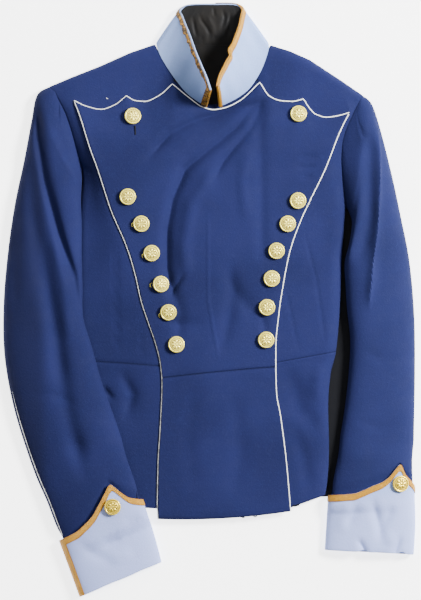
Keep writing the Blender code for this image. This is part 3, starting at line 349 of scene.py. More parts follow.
# Cuffs: how far the upper edge rises above the wrist line, by the share of the way from outer to inner edge
CUFF_RISE = {
    "right": (
        (0, 0), (0.19, 0.3), (0.31, 3.7), (0.43, 9), (0.54, 18), (0.64, 27), (0.738, 35), (0.79, 26.5),
        (0.83, 18.5), (0.883, 10), (0.94, 5), (1, 0),
    ),
    "left": (
        (0, 5), (0.028, 11.5), (0.104, 22), (0.171, 35), (0.239, 28.5), (0.308, 20), (0.389, 14),
        (0.507, 9.5), (0.619, 4.5), (0.731, 1), (1, 0),
    ),
}
CUFF_PEAK = {"right": (0.783, 0.738), "left": (0.217, 0.171)}
SLIT_LACE_CELLS = 10
# How far a sleeve sinks at the cuff's upper edge, and on the rows above it
CUFF_DIPS = (2.6, 2.2, 1.4, 0.6, 0.2)
# Dips in a cuff's hem: depth, then place and width by the share of the way from outer to inner edge
HEM_DIPS = {
    "right": ((0.8, 0.35, 0.12), (0.6, 0.8, 0.1)),
    "left": ((2.6, 0.57, 0.045), (2.8, 0.155, 0.05), (1.2, 0.35, 0.1)),
}

# Largest folds: depth (a valley is below zero), half width and path. A pressed one has a crisp side too,
# on the left of its path, where it falls away within that width.
Fold = namedtuple("Fold", "depth width path crisp", defaults=(None,))
BODY_FOLDS = (
    Fold(-2.5, 9, ((56, 252), (6, 228), (-38, 209), (-76, 183))),
    Fold(-2, 8, ((64, 255), (65, 236), (50, 202))),
    Fold(-2.5, 11, ((-20, 190), (-41, 133), (-54, 76), (-52, 30), (-45, -12))),
    Fold(-1.5, 12, ((35, 209), (17, 162), (4, 120))),
    Fold(-1.5, 12, ((-104, -80), (-100, -106), (-99, -132), (-104, -169))),
    Fold(-1.5, 14, ((126, -90), (109, -125), (100, -169))),
)
SLEEVE_FOLDS = (
    Fold(-4, 7, ((-219, 250), (-215, 209), (-206, 152), (-188, 76), (-172, 8))),
    Fold(-5, 11, ((-229, 190), (-224, 114), (-211, 38), (-193, -50), (-182, -138), (-160, -214))),
    Fold(2, 6, ((209, 225), (215, 183), (211, 89), (202, 13), (200, -14))),
    Fold(-4, 9, ((201, 217), (200, 164), (200, 108), (193, 70), (180, 40))),
)
FOLD_FADE = 35
FOLD_REACH = 3
SHORTEST_FADE_PARTS = 2.5

# Buttons as (X, Y)
BUTTONS = {
    "right": ((-98, 231), (-104, 130), (-87, 96), (-74, 59), (-63, 20), (-53, -15), (-43, -56)),
    "left": ((111, 234), (110, 125), (97, 96), (83, 62), (77, 27), (71, -9), (70, -50)),
}
CUFF_BUTTONS = {"right": (-123, -260), "left": (238.5, -231)}

# The middle of a thread lies this many radii above its cloth
THREAD_REST = 0.6
# Small things that lie on a piece, along a path of (X, Y, height above it)
Extra = namedtuple("Extra", "name on radius finish path")
# Brass loops: the number of the right button beside each, and where it begins
LOOPS = ((3, -98, 97), (4, -85, 58), (5, -75, 21), (6, -64, -17))
LOOP_SHAPE = ((0, 0, 0), (-1, -1.5, 0.6), (-1, -3.5, 0.6), (0, -5, 0))
LOOP_RADIUS = 0.45
EXTRAS = (
    Extra(
        "buttonhole", "plastron", 0.9, "dark_lining",
        ((-95, 219, 0), (-94.8, 214, -0.2), (-94.5, 208, -0.7)),
    ),
    *(
        Extra(
            f"loop_right_{number}",
            "plastron",
            LOOP_RADIUS,
            "gilt_brass",
            [(x + aside, y + below, above) for aside, below, above in LOOP_SHAPE],
        )
        for number, x, y in LOOPS
    ),
    Extra(
        "lint", "front_right", 0.5, "white_piping",
        ((-131.5, 254.5, 0), (-130, 253.5, 0.2), (-129.2, 253.6, 0)),
    ),
    Extra(
        "hem_end_1", "plastron_skirt", 0.9, "dark_lining",
        ((39, -273, 0), (41, -274, 0), (43, -273.2, 0)),
    ),
    Extra(
        "hem_end_2", "plastron_skirt", 0.6, "dark_lining",
        ((54, -272.5, 0), (56, -273, 0), (59, -272, 0)),
    ),
    Extra(
        "hem_end_3", "skirt_left", 1.1, "dark_lining",
        ((104, -258.5, 0), (106, -259.5, 0), (109, -258.5, 0), (112, -258, 0)),
    ),
)
# Small things at the collar, along a path of (X, Y, Z)
CollarExtra = namedtuple("CollarExtra", "name radius finish path")
COLLAR_EXTRAS = (
    CollarExtra(
        "neck_hook", 0.6, "gilt_brass",
        ((-9, 246, 19), (-6, 246.5, 20), (-3.5, 247, 19.5), (-4, 249, 19.5), (-6.5, 249, 20)),
    ),
)

# Finer creases on the fronts: the photographed ones that are too small for the solids
BODY_CREASES = (
    # drawn from the left side of the neck across the breast
    Fold(-4.8, 5.5, ((82, 258), (52, 246), (26, 239), (-20, 226), (-51, 210), (-84, 172))),
    Fold(
        -5.2, 6.5,
        ((70, 264), (59, 246), (31, 215), (-1, 190), (-32, 164), (-48, 127), (-55, 89), (-55, 40), (-46, -6)),
    ),
    Fold(2.6, 8, ((12, 175), (-24, 120), (-33, 70), (-30, 20))),
    Fold(-3.6, 5, ((70, 258), (50, 215), (18, 177), (-4, 140))),
    Fold(-1.9, 8, ((66, 262), (62, 210), (64, 150), (65, 40))),
    Fold(1.6, 7, ((48, 200), (40, 150), (46, 90))),
    Fold(-1.5, 2.6, ((108, 178), (138, 182))),
    Fold(-1.5, 2.6, ((106, 166), (135, 168))),
    Fold(-1.2, 2.6, ((110, 154), (132, 156))),
    # above the waist
    Fold(-3.0, 4, ((-30, 38), (-54, 0))),
    Fold(-2.4, 7, ((-72, -14), (-38, -31), (-4, -26))),
    Fold(-2.4, 8, ((-52, 30), (-38, -16), (-42, -66))),
    Fold(-2.2, 10, ((14, 34), (44, -4), (68, -34))),
    Fold(-2.6, 9, ((24, 56), (28, 10), (22, -30), (10, -74))),
    Fold(-1.6, 6, ((64, -6), (70, -50))),
    Fold(0.5, 1.8, ((-3, 120), (-3, 1), (12, -85))),
    # in the skirt
    Fold(-3.2, 5.5, ((-116, -84), (-99, -119), (-108, -154))),
    Fold(-3.8, 4, ((-138, -106), (-129, -119), (-120, -129))),
    Fold(-2.4, 12, ((92, -74), (113, -138), (146, -178))),
    Fold(2.4, 9, ((140, -76), (130, -134))),
    Fold(-2.0, 9, ((102, -150), (118, -200), (124, -250))),
    Fold(-1.2, 11, ((30, -110), (38, -190), (26, -258))),
    Fold(-0.9, 10, ((-20, -96), (-28, -170), (-22, -250))),
    # beside the left armhole
    Fold(-2.2, 4, ((173, 212), (165, 182), (162, 150), (165, 122))),
    # seams and darts
    Fold(-0.9, 1.5, ((117, 90), (133, 26), (146, -64))),
    Fold(-0.9, 1.5, ((91, 30), (113, -73))),
    Fold(-0.8, 1.4, ((-123, 80), (-122, 0), (-119, -77))),
    Fold(-0.8, 1.4, ((-118, 80), (-117, 0), (-114, -77))),
    Fold(-0.9, 1.5, ((-88, -30), (-87, -79))),
)
SLEEVE_CREASES = (
    # the pressed ridge down the left sleeve, and the cloth beside it
    Fold(
        5.4, 9,
        ((203, 238), (211, 215), (214, 183), (214, 139), (211, 89), (205, 45), (201, 1), (200, -18)),
        1.1,
    ),
    Fold(-3.5, 3.5, ((178, 226), (172, 190), (169, 160), (169, 130), (172, 116))),
    Fold(-1.4, 2, ((168, 168), (177, 171))),
    Fold(-1.0, 5, ((190, 215), (193, 199))),
    Fold(-3.0, 3, ((168, 118), (178, 101))),
    Fold(2.2, 5, ((179, 99), (171, 41))),
    # the right sleeve's valleys
    Fold(-5.4, 4.5, ((-219, 254), (-218, 205), (-208, 146), (-190, 82), (-171, 30), (-164, -20))),
    Fold(-3.0, 8, ((-238, 200), (-244, 130), (-248, 60), (-248, -20))),
    Fold(-1.6, 9, ((-208, 90), (-200, -5), (-188, -100), (-172, -180), (-156, -236))),
    Fold(2.0, 7, ((-200, 90), (-184, 20), (-176, -60))),
    Fold(2.6, 10, ((-192, -80), (-182, -138), (-168, -190))),
    Fold(-1.6, 2.5, ((-196, 234), (-185, 221), (-175, 209))),
    Fold(-1.6, 2.5, ((-187, 183), (-170, 167))),
    # soft cross folds towards the cuffs
    Fold(-0.6, 9, ((-205, -190), (-165, -180), (-138, -200))),
    Fold(-1.0, 5, ((-238, -120), (-200, -118), (-160, -135))),
    Fold(-1.0, 5, ((175, -150), (215, -162), (250, -150))),
    Fold(-0.9, 6, ((185, -60), (215, -75), (245, -70))),
    # the seam along the inner side of the left sleeve
    Fold(-0.8, 1.5, ((166, -130), (163, -180), (160, -236))),
    # wrinkles in the cuffs
    Fold(-4.0, 6, ((202, -244), (208.5, -270), (213.5, -290), (213.5, -312))),
    Fold(-3.0, 5.5, ((232, -256), (214, -290))),
    Fold(-2.6, 7, ((190, -252), (166, -290))),
    Fold(-3.6, 4, ((184, -298), (199, -324))),
    Fold(-3.8, 4, ((241, -296), (229, -325))),
    Fold(1.8, 7, ((176, -250), (163, -296))),
    Fold(1.6, 7, ((228, -290), (226, -312))),
    Fold(-1.4, 7, ((-176, -296), (-150, -318), (-118, -334))),
    Fold(-1.8, 4.5, ((-112, -283), (-86, -271))),
    Fold(-1.5, 6, ((-140, -309), (-112, -296))),
    Fold(1.4, 8, ((-130, -330), (-95, -315))),
)
ClothCut = namedtuple("ClothCut", "width length area lies_on")
# A record of a cloth piece's flat cut, which no piece here is given: its width and length measured along the
# cloth, in metres, half of the finished piece's own surface in square metres, and what it lies on
# Folds of the satin inside the collar
SATIN_FOLDS = (
    Fold(-1.5, 2.0, ((-15, 364), (-11, 352), (-5, 344), (-1.5, 337), (-3, 324))),
    Fold(0.9, 3, ((-7, 362), (2, 347), (5, 330))),
    Fold(-1.3, 1.6, ((4, 371), (5, 356))),
    Fold(-1.5, 1.8, ((14, 370), (18, 356), (14, 340))),
    Fold(-1.5, 2.2, ((26, 366), (22, 326))),
    Fold(-1.3, 2.0, ((-23, 360), (-17, 328))),
    Fold(-0.9, 1.3, ((-10, 334), (-11, 320))),
    Fold(-0.9, 1.3, ((6, 335), (7, 320))),
    Fold(-0.9, 1.3, ((14, 333), (16, 320))),
)
# Creases in the underside, pressed up from the surface, where no photograph shows them
BACK_CREASES = (
    Fold(1.2, 8, ((-60, 240), (-20, 180), (10, 120))),
    Fold(1.0, 10, ((50, 230), (90, 150), (100, 60))),
    Fold(0.9, 9, ((-110, 120), (-90, 40), (-100, -40))),
    Fold(1.1, 6, ((-130, -62), (-40, -74), (40, -66), (130, -72))),
    Fold(0.8, 7, ((-80, -120), (-95, -190), (-90, -240))),
    Fold(1.0, 9, ((20, -100), (30, -170), (15, -230))),
    Fold(0.7, 5, ((90, -130), (110, -190), (105, -235))),
)

# How finely the nets are cut
FINER = 6
BACK_FINER = 8
SIDE_CELLS = 30
SIDE_CROWDING = 1.35
SHOULDER_ROWS = 9
LAP_ANGLES = (75, 60, 45, 30, 15, 0, -15, -30, -45, -60, -75, -90)
ROW_STEPS = {HEM: 32, SKIRT: 25, PLASTRON_WAIST: 4, WAIST: 38, RIBS: 38, UNDERARM: 18, CHEST: 16}
SHARP_DEGREES = 50

# Camera and lights: heights, sizes and places in metres, and powers in watts
SENSOR_MM = 36
LENS_MM = 400
PICTURE_HEIGHT = 0.756
FOCUS_HEIGHT = 0.012
WORLD_LIGHT = 0.25
FLOOR_GLOW = 3.4
FLOOR_HALF_SIDE = 4.0
FLOOR_TONES = ((0.90, 0.90, 0.90, 1), (0.94, 0.94, 0.94, 1))
Light = namedtuple("Light", "name place side power")
LIGHTS = (
    Light("key", (1.9, 0.8, 1.8), 0.7, 245),
    Light("fill", (-1.6, 0.4, 2.0), 1.6, 16),
    Light("top", (0.2, 1.8, 1.6), 1.2, 24),
)

# Colours as linear RGB
BLUE_DARK = (0.0084, 0.0114, 0.054, 1)
BLUE_MIDDLE = (0.0114, 0.0150, 0.070, 1)
BLUE_DUSTY = (0.026, 0.037, 0.120, 1)
# Painted shade for the blue cloth along the edges of its pieces, where seams and hems meet
BLUE_SEAM_SHADE = (0.0025, 0.0040, 0.019, 1)
# Painted shade for the outer side of the right sleeve
BLUE_PAINTED_SHADE = (0.0052, 0.0062, 0.020, 1)
PALE_DARK = (0.24, 0.36, 0.70, 1)
PALE_MIDDLE = (0.29, 0.43, 0.82, 1)
PALE_WORN = (0.47, 0.48, 0.84, 1)
# Painted shade for the pale cloth along the edges of its pieces
PALE_SEAM_SHADE = (0.26, 0.33, 0.50, 1)
# Painted shade for the right side of the collar
PALE_PAINTED_SHADE = (0.15, 0.20, 0.32, 1)
PIPING_WHITE = (0.88, 0.88, 0.87, 1)
# Painted shade that greys the piping on the right, in patches
PIPING_PAINTED_SHADE = (0.20, 0.20, 0.21, 1)
LACE_GOLD = (0.56, 0.25, 0.004, 1)
# A painted highlight down the middle of the lace
LACE_PAINTED_HIGHLIGHT = (0.72, 0.37, 0.008, 1)
LACE_SHADE = (0.19, 0.080, 0.004, 1)
LACE_WORN = (0.030, 0.018, 0.006, 1)
GILT_PALE = (1.0, 0.86, 0.15, 1)
GILT_DEEP = (0.95, 0.70, 0.06, 1)
GILT_TARNISHED = (0.16, 0.085, 0.012, 1)
SATIN = (0.0045, 0.0044, 0.0048, 1)
SATIN_BROWN = (0.0100, 0.0086, 0.0074, 1)
# Painted shade for the lining below the neck: darker and bluer
SATIN_PAINTED_SHADE = (0.0014, 0.0018, 0.0040, 1)

# Where a tone changes: along which axis, over what span of it in metres, and the shares before and after
ToneChange = namedtuple("ToneChange", "axis span before after", defaults=(0, 1))
CUFFS_PALER = ToneChange("Y", (-0.22, -0.26), 0, 0.45)
# Paler towards the left sleeve's outer side, where the key light falls: partly dustier cloth, partly painted
# light
LEFT_SLEEVE_DUST_AND_LIGHT = ToneChange("X", (0.16, 0.20), 0, 0.1)
# Painted shade down the right sleeve's outer side
RIGHT_SLEEVE_PAINTED_SHADE = ToneChange("X", (-0.20, -0.22), 0, 0.45)
# Painted shade on the collar's right side
COLLAR_RIGHT_PAINTED_SHADE = ToneChange("X", (0.0, -0.04), 0, 0.4)
AT_COLLAR = ToneChange("Y", (0.2, 0.24))
# Where painted shade greys the piping: below the waist and on its right side
PIPING_BELOW_WAIST = ToneChange("Y", (0.02, -0.08))
PIPING_ON_RIGHT = ToneChange("X", (0.02, -0.05))
LACE_ON_RIGHT = ToneChange("X", (0.002, -0.004))
LACE_AT_COLLAR = ToneChange("Y", (0.15, 0.2))
LOW_ON_COAT = ToneChange("Y", (-0.08, -0.2))
IN_NECK = ToneChange("Y", (0.22, 0.28))

# How fine the cloth's patterns are, as features in a metre
FIBRE_SCALE = 2600
NAP_SCALE = 420
MOTTLE_SCALE = 70
BROAD_SCALE = 9
RIB_SCALE = 210
LACE_SCALE = 210


class Finish:
    """A material made of shader nodes, with short calls for the nodes that the finishes share."""

    def __init__(self, name):
        self.material = bpy.data.materials.new(name)
        self.material.use_nodes = True
        self.tree = self.material.node_tree
        self.shader = self.tree.nodes["Principled BSDF"]
        self.place = self.add("ShaderNodeTexCoord").outputs["Object"]

    def add(self, kind, inputs=(), **settings):
        node = self.tree.nodes.new(kind)
        for key, value in settings.items():
            setattr(node, key, value)
        for socket, value in dict(inputs).items():
            self.put(node, socket, value)
        return node

    def put(self, node, socket, value):
        if isinstance(value, bpy.types.NodeSocket):
            self.tree.links.new(value, node.inputs[socket])
        else:
            node.inputs[socket].default_value = value

    def noise(self, scale, detail=3.0, roughness=0.5, place=None):
        """Noise with features of about 1/scale metres."""
        inputs = {"Vector": place or self.place, "Scale": scale, "Detail": detail, "Roughness": roughness}
        return self.add("ShaderNodeTexNoise", inputs).outputs["Fac"]

    def inside(self):
        """0 along the edges of a piece of cloth and 1 from its first stitches inwards."""
        return self.add("ShaderNodeAttribute", attribute_name="inside").outputs["Fac"]

    def step(self, value, low, high, to_low=0.0, to_high=1.0):
        """The value between low and high, stretched smoothly to another range and held at its ends."""
        inputs = {"Value": value, "From Min": low, "From Max": high, "To Min": to_low, "To Max": to_high}
        return self.add("ShaderNodeMapRange", inputs, interpolation_type="SMOOTHSTEP").outputs["Result"]

    def maths(self, operation, first, second=0.5):
        return self.add("ShaderNodeMath", {0: first, 1: second}, operation=operation).outputs[0]

    def along(self, change):
        """A share that changes with the place on the coat."""
        place = self.add("ShaderNodeSeparateXYZ", {0: self.place}).outputs[change.axis]
        return self.step(place, *change.span, change.before, change.after)

    def blend(self, share, first, second):
        node = self.add("ShaderNodeMix", data_type="RGBA")
        self.put(node, 0, share)
        self.put(node, 6, first)
        self.put(node, 7, second)
        return node.outputs[2]

    def bump(self, height, distance, strength=1.0, normal=None):
        inputs = {"Height": height, "Distance": distance, "Strength": strength}
        node = self.add("ShaderNodeBump", inputs)
        if normal:
            self.put(node, "Normal", normal)
        return node.outputs["Normal"]

    def finish(self, **sockets):
        for name, value in sockets.items():
            self.put(self.shader, name.replace("_", " "), value)
        return self.material


def wool(name, dark, middle, dusty, seam, sheen):
    """Milled wool: a close nap over fine ribs, darker along its seams with painted shade, and changing in
    tone across the coat, partly with painted light and shade.
    """
    cloth = Finish(name)
    fibre = cloth.noise(FIBRE_SCALE, 2)
    nap = cloth.noise(NAP_SCALE, 3, 0.65)
    mottle = cloth.noise(MOTTLE_SCALE, 4, 0.6)
    broad = cloth.noise(BROAD_SCALE, 2)
    ribs = cloth.add(
        "ShaderNodeTexWave",
        {"Vector": cloth.place, "Scale": RIB_SCALE, "Distortion": 1.5, "Detail": 2, "Detail Scale": 1.5},
        bands_direction="Y",
    ).outputs["Fac"]
    tone = cloth.blend(cloth.step(broad, 0.35, 0.65), dark, middle)
    if name == "light_blue_wool":
        tone = cloth.blend(cloth.along(CUFFS_PALER), tone, dusty)
    tone = cloth.blend(cloth.step(mottle, 0.5, 0.8, 0, 0.1), tone, dusty)
    tone = cloth.blend(cloth.step(ribs, 0.3, 0.9, 0, 0.06), tone, dusty)
    specks = cloth.step(cloth.maths("MULTIPLY", nap, fibre), 0.27, 0.45, 0, 0.35)
    tone = cloth.blend(specks, tone, dusty)
    if name == "blue_wool":
        # The left sleeve's outer side made paler: partly dustier cloth, partly painted light
        tone = cloth.blend(cloth.along(LEFT_SLEEVE_DUST_AND_LIGHT), tone, dusty)
        # Painted shade darkens the right sleeve's outer side
        tone = cloth.blend(cloth.along(RIGHT_SLEEVE_PAINTED_SHADE), tone, BLUE_PAINTED_SHADE)
    else:
        # Painted shade greys the collar's right side
        collar_shade = cloth.maths("MULTIPLY", cloth.along(COLLAR_RIGHT_PAINTED_SHADE), cloth.along(AT_COLLAR))
        tone = cloth.blend(collar_shade, tone, PALE_PAINTED_SHADE)
    # Painted shade darkens the cloth along the edges of each piece
    tone = cloth.blend(cloth.step(cloth.inside(), 0.0, 0.6, 0.5, 0), tone, seam)
    weave = cloth.bump(ribs, 0.0002, 0.25)
    napped = cloth.bump(nap, 0.0008, 0.4, weave)
    return cloth.finish(
        Base_Color=tone,
        Roughness=cloth.step(mottle, 0.3, 0.7, 0.82, 0.95),
        Normal=cloth.bump(fibre, 0.0003, 0.4, napped),
        Sheen_Weight=sheen,
        Sheen_Roughness=0.4,
        Sheen_Tint=dusty,
        Specular_IOR_Level=0.12,
    )


def piping_finish():
    """White piping cloth, greyed in patches by painted shade on the right, most of all below the waist."""
    cloth = Finish("white_piping")
    low = cloth.along(PIPING_BELOW_WAIST)
    # Painted shade greys the piping on the right, most of all below the waist, in patches
    piping_shade = cloth.maths("MULTIPLY", cloth.along(PIPING_ON_RIGHT), cloth.step(low, 0, 1, 0.45, 0.95))
    patches = cloth.step(cloth.noise(160, 4, 0.7), 0.35, 0.65, 0.5, 1)
    return cloth.finish(
        Base_Color=cloth.blend(cloth.maths("MULTIPLY", patches, piping_shade), PIPING_WHITE, PIPING_PAINTED_SHADE),
        Roughness=cloth.step(patches, 0, 1, 0.75, 0.92),
        Normal=cloth.bump(cloth.noise(1400, 2), 0.0004, 0.6),
        Sheen_Weight=0.2,
    )


def lace_finish():
    """Woven gold lace, dark along its borders, with a painted highlight down its middle, bright on the left
    and worn brown on the collar's right.
    """
    lace = Finish("gold_lace")
    woven = lace.add("ShaderNodeUVMap", uv_map="cloth").outputs["UV"]
    inputs = {"Vector": woven, "Scale": LACE_SCALE}
    down, across = (lace.add("ShaderNodeTexWave", inputs, bands_direction=way) for way in "XY")
    threads = lace.maths("MAXIMUM", down.outputs["Fac"], across.outputs["Fac"])
    worn_side = lace.maths("MULTIPLY", lace.along(LACE_ON_RIGHT), lace.along(LACE_AT_COLLAR))
    patches = lace.step(lace.noise(330, 3, 0.7), 0.4, 0.56)
    wear = lace.maths("MULTIPLY", patches, lace.step(worn_side, 0, 1, 0.12, 0.95))
    inside = lace.inside()
    tone = lace.blend(lace.step(threads, 0.2, 0.9), LACE_SHADE, LACE_GOLD)
    # A painted highlight down the middle of the lace
    tone = lace.blend(lace.step(inside, 0.55, 1.0, 0, 0.3), tone, LACE_PAINTED_HIGHLIGHT)
    tone = lace.blend(lace.step(inside, 0.0, 0.3, 0.75, 0), tone, LACE_SHADE)
    return lace.finish(
        Base_Color=lace.blend(wear, tone, LACE_WORN),
        Metallic=lace.step(wear, 0, 1, 0.15, 0.05),
        Roughness=lace.step(wear, 0, 1, 0.5, 0.75),
        Normal=lace.bump(threads, 0.0006, 0.8),
    )


def gilt_finish():
    """Gilt brass, rubbed bright on rims and domes, and tarnished in the ring between them and in patches."""
    brass = Finish("gilt_brass")
    patches = brass.noise(260, 4, 0.6)
    hollow = brass.add("ShaderNodeAttribute", attribute_name="hollow").outputs["Fac"]
    in_hollows = brass.maths("MULTIPLY", hollow, 0.95)
    tarnish = brass.maths("MAXIMUM", brass.step(patches, 0.5, 0.75, 0, 0.5), in_hollows)
    low = brass.along(LOW_ON_COAT)
    gilt = brass.blend(low, GILT_PALE, GILT_DEEP)
    scratches = brass.noise(1200, 3, 0.7)
    return brass.finish(
        Base_Color=brass.blend(tarnish, gilt, GILT_TARNISHED),
        Metallic=brass.step(low, 0, 1, 0.3, 0.55),
        Roughness=brass.step(patches, 0.35, 0.7, 0.24, 0.42),
        Normal=brass.bump(scratches, 0.0001, 0.35),
    )


def satin_finish():
    """Black satin lining, browner in the neck, and darker and bluer below it with painted shade."""
    satin = Finish("dark_lining")
    patches = satin.noise(35, 4, 0.6)
    ribs = satin.noise(900, 2)
    in_neck = satin.along(IN_NECK)
    browned = satin.maths("MULTIPLY", satin.step(patches, 0.4, 0.7), in_neck)
    # Painted shade makes the lining below the neck darker and bluer
    tone = satin.blend(in_neck, SATIN_PAINTED_SHADE, SATIN)
    return satin.finish(
        Base_Color=satin.blend(browned, tone, SATIN_BROWN),
        Roughness=satin.step(patches, 0.3, 0.7, 0.55, 0.72),
        Normal=satin.bump(ribs, 0.0002, 0.4),
        Specular_IOR_Level=0.16,
    )


MADE = {}


def material(slot):
    if slot not in MADE:
        makers = {
            "blue_wool": lambda: wool("blue_wool", BLUE_DARK, BLUE_MIDDLE, BLUE_DUSTY, BLUE_SEAM_SHADE, 0.25),
            "light_blue_wool": lambda: wool(
                "light_blue_wool", PALE_DARK, PALE_MIDDLE, PALE_WORN, PALE_SEAM_SHADE, 0.08
            ),
            "white_piping": piping_finish,
            "gold_lace": lace_finish,
            "gilt_brass": gilt_finish,
            "dark_lining": satin_finish,
        }
        MADE[slot] = makers[slot]()
    return MADE[slot]


def clamp(value, low=0.0, high=1.0):
    return min(max(value, low), high)


def ease(share):
    share = clamp(share)
    return share * share * (3 - 2 * share)


def mix(first, second, share):
    return first + (second - first) * share


def bell(away, width):
    """1 in the middle, falling to 1/e at the width on either side."""
    return math.exp(-((away / width) ** 2))


def waves(table, x):
    """Waves laid over one another at x, each with its size, pace and start."""
    return sum(size * math.sin(pace * x + start) for size, pace, start in table)


def slopes(xs, ys):
    """Slopes at the knots of a smooth curve that never swings past its knots."""
    steps = [(ys[i + 1] - ys[i]) / (xs[i + 1] - xs[i]) for i in range(len(xs) - 1)]
    inner = [
        0 if a * b <= 0 else 2 * a * b / (a + b) for a, b in zip(steps[:-1], steps[1:])
    ]
    return [steps[0], *inner, steps[-1]]


def value_at(table, x):
    """The second column of a table at x in its first column, on a smooth curve."""
    xs = [row[0] for row in table]
    ys = [row[1] for row in table]
    x = clamp(x, xs[0], xs[-1])
    at = slopes(xs, ys)
    i = max(k for k in range(len(xs) - 1) if xs[k] <= x)
    width = xs[i + 1] - xs[i]
    f = (x - xs[i]) / width
    return (
        ys[i] * (1 + 2 * f) * (1 - f) ** 2
        + ys[i + 1] * f * f * (3 - 2 * f)
        + at[i] * width * f * (1 - f) ** 2
        - at[i + 1] * width * f * f * (1 - f)
    )


def row_at(rows, t):
    """The row at t, counted in rows, on a smooth curve through them all."""
    last = len(rows) - 1
    i = min(int(clamp(t, 0, last)), last - 1)
    f = t - i
    before, start, end, after = rows[max(i - 1, 0)], rows[i], rows[i + 1], rows[min(i + 2, last)]
    return [
        0.5
        * (
            2 * q
            + (r - p) * f
            + (2 * p - 5 * q + 4 * r - s) * f * f
            + (3 * q - p - 3 * r + s) * f**3
        )
        for p, q, r, s in zip(before, start, end, after)
    ]


def on_path(path, share):
    """The point at a share of the way along a polyline, by its length."""
    lengths = [math.dist(a, b) for a, b in zip(path[:-1], path[1:])]
    left = clamp(share) * sum(lengths)
    for i, length in enumerate(lengths):
        if left <= length or i == len(lengths) - 1:
            return Vector(path[i]).lerp(Vector(path[i + 1]), left / length)
        left -= length


def fold_height(folds, x, y):
    """What the folds add to the height at a place, each fading out at its two ends."""
    total = 0
    for fold in folds:
        reach = FOLD_REACH * fold.width
        xs, ys = zip(*fold.path)
        if not (min(xs) - reach < x < max(xs) + reach and min(ys) - reach < y < max(ys) + reach):
            continue
        nearest, run_at, beside = math.inf, 0, 0
        run = 0
        length = sum(math.dist(a, b) for a, b in zip(fold.path[:-1], fold.path[1:]))
        for a, b in zip(fold.path[:-1], fold.path[1:]):
            step = math.dist(a, b)
            share = clamp(((x - a[0]) * (b[0] - a[0]) + (y - a[1]) * (b[1] - a[1])) / step**2)
            away = math.dist((x, y), (mix(a[0], b[0], share), mix(a[1], b[1], share)))
            if away < nearest:
                nearest, run_at = away, run + share * step
                beside = (b[0] - a[0]) * (y - a[1]) - (b[1] - a[1]) * (x - a[0])
            run += step
        fade_run = min(FOLD_FADE, length / SHORTEST_FADE_PARTS)
        fade = ease(run_at / fade_run) * ease((length - run_at) / fade_run)
        if fold.crisp is None:
            profile = bell(nearest, fold.width)
        else:
            profile = math.exp(-nearest / (fold.crisp if beside > 0 else fold.width))
        total += fold.depth * profile * fade
    return total


class Net:
    """A surface as points[(row, column)], its cells, and a normal at each point."""

    def __init__(self, points, cells, around=0, flip=False):
        self.points = points
        self.cells = cells
        self.around = around
        self.flip = flip
        self.normals = {key: Vector() for key in points}
        for cell in cells:
            a, b, c, d = (points[key] for key in self.corners(cell))
            normal = (c - a).cross(d - b)
            for key in self.corners(cell):
                self.normals[key] += normal
        for normal in self.normals.values():
            normal.normalize()

    def corners(self, cell):
        row, column = cell
        beside = (column + 1) % self.around if self.around else column + 1
        found = ((row, column), (row, beside), (row + 1, beside), (row + 1, column))
        return found[::-1] if self.flip else found

    def triangles(self, cell):
        """A cell's two halves, cut along its shorter diagonal so that all layers are cut alike."""
        a, b, c, d = self.corners(cell)
        if math.dist(self.points[a], self.points[c]) <= math.dist(self.points[b], self.points[d]):
            return (a, b, c), (a, c, d)
        return (a, b, d), (b, c, d)

    def between(self, row, column, share):
        """The point and normal at a share of the way from a row to the next."""
        point = self.points[row, column].lerp(self.points[row + 1, column], share)
        normal = self.normals[row, column].lerp(self.normals[row + 1, column], share)
        return point, normal.normalized()


def inset(normal, into, out, trim_into, trim_out):
    """How far a corner moves so that both its edges move in by their own trims."""
    first = normal.cross(into).normalized()
    second = normal.cross(out).normalized()
    lean = first.dot(second)
    if abs(lean) > STRAIGHT_ON:
        return (first + second).normalized() * (trim_into + trim_out) / 2
    a = (trim_into - lean * trim_out) / (1 - lean * lean)
    b = (trim_out - lean * trim_into) / (1 - lean * lean)
    return first * a + second * b


def seam_trim(_first, _second):
    return SEAM_LINE / 2


def no_trim(_first, _second):
    return 0


def as_offset(_net, _key, point):
    return point.z


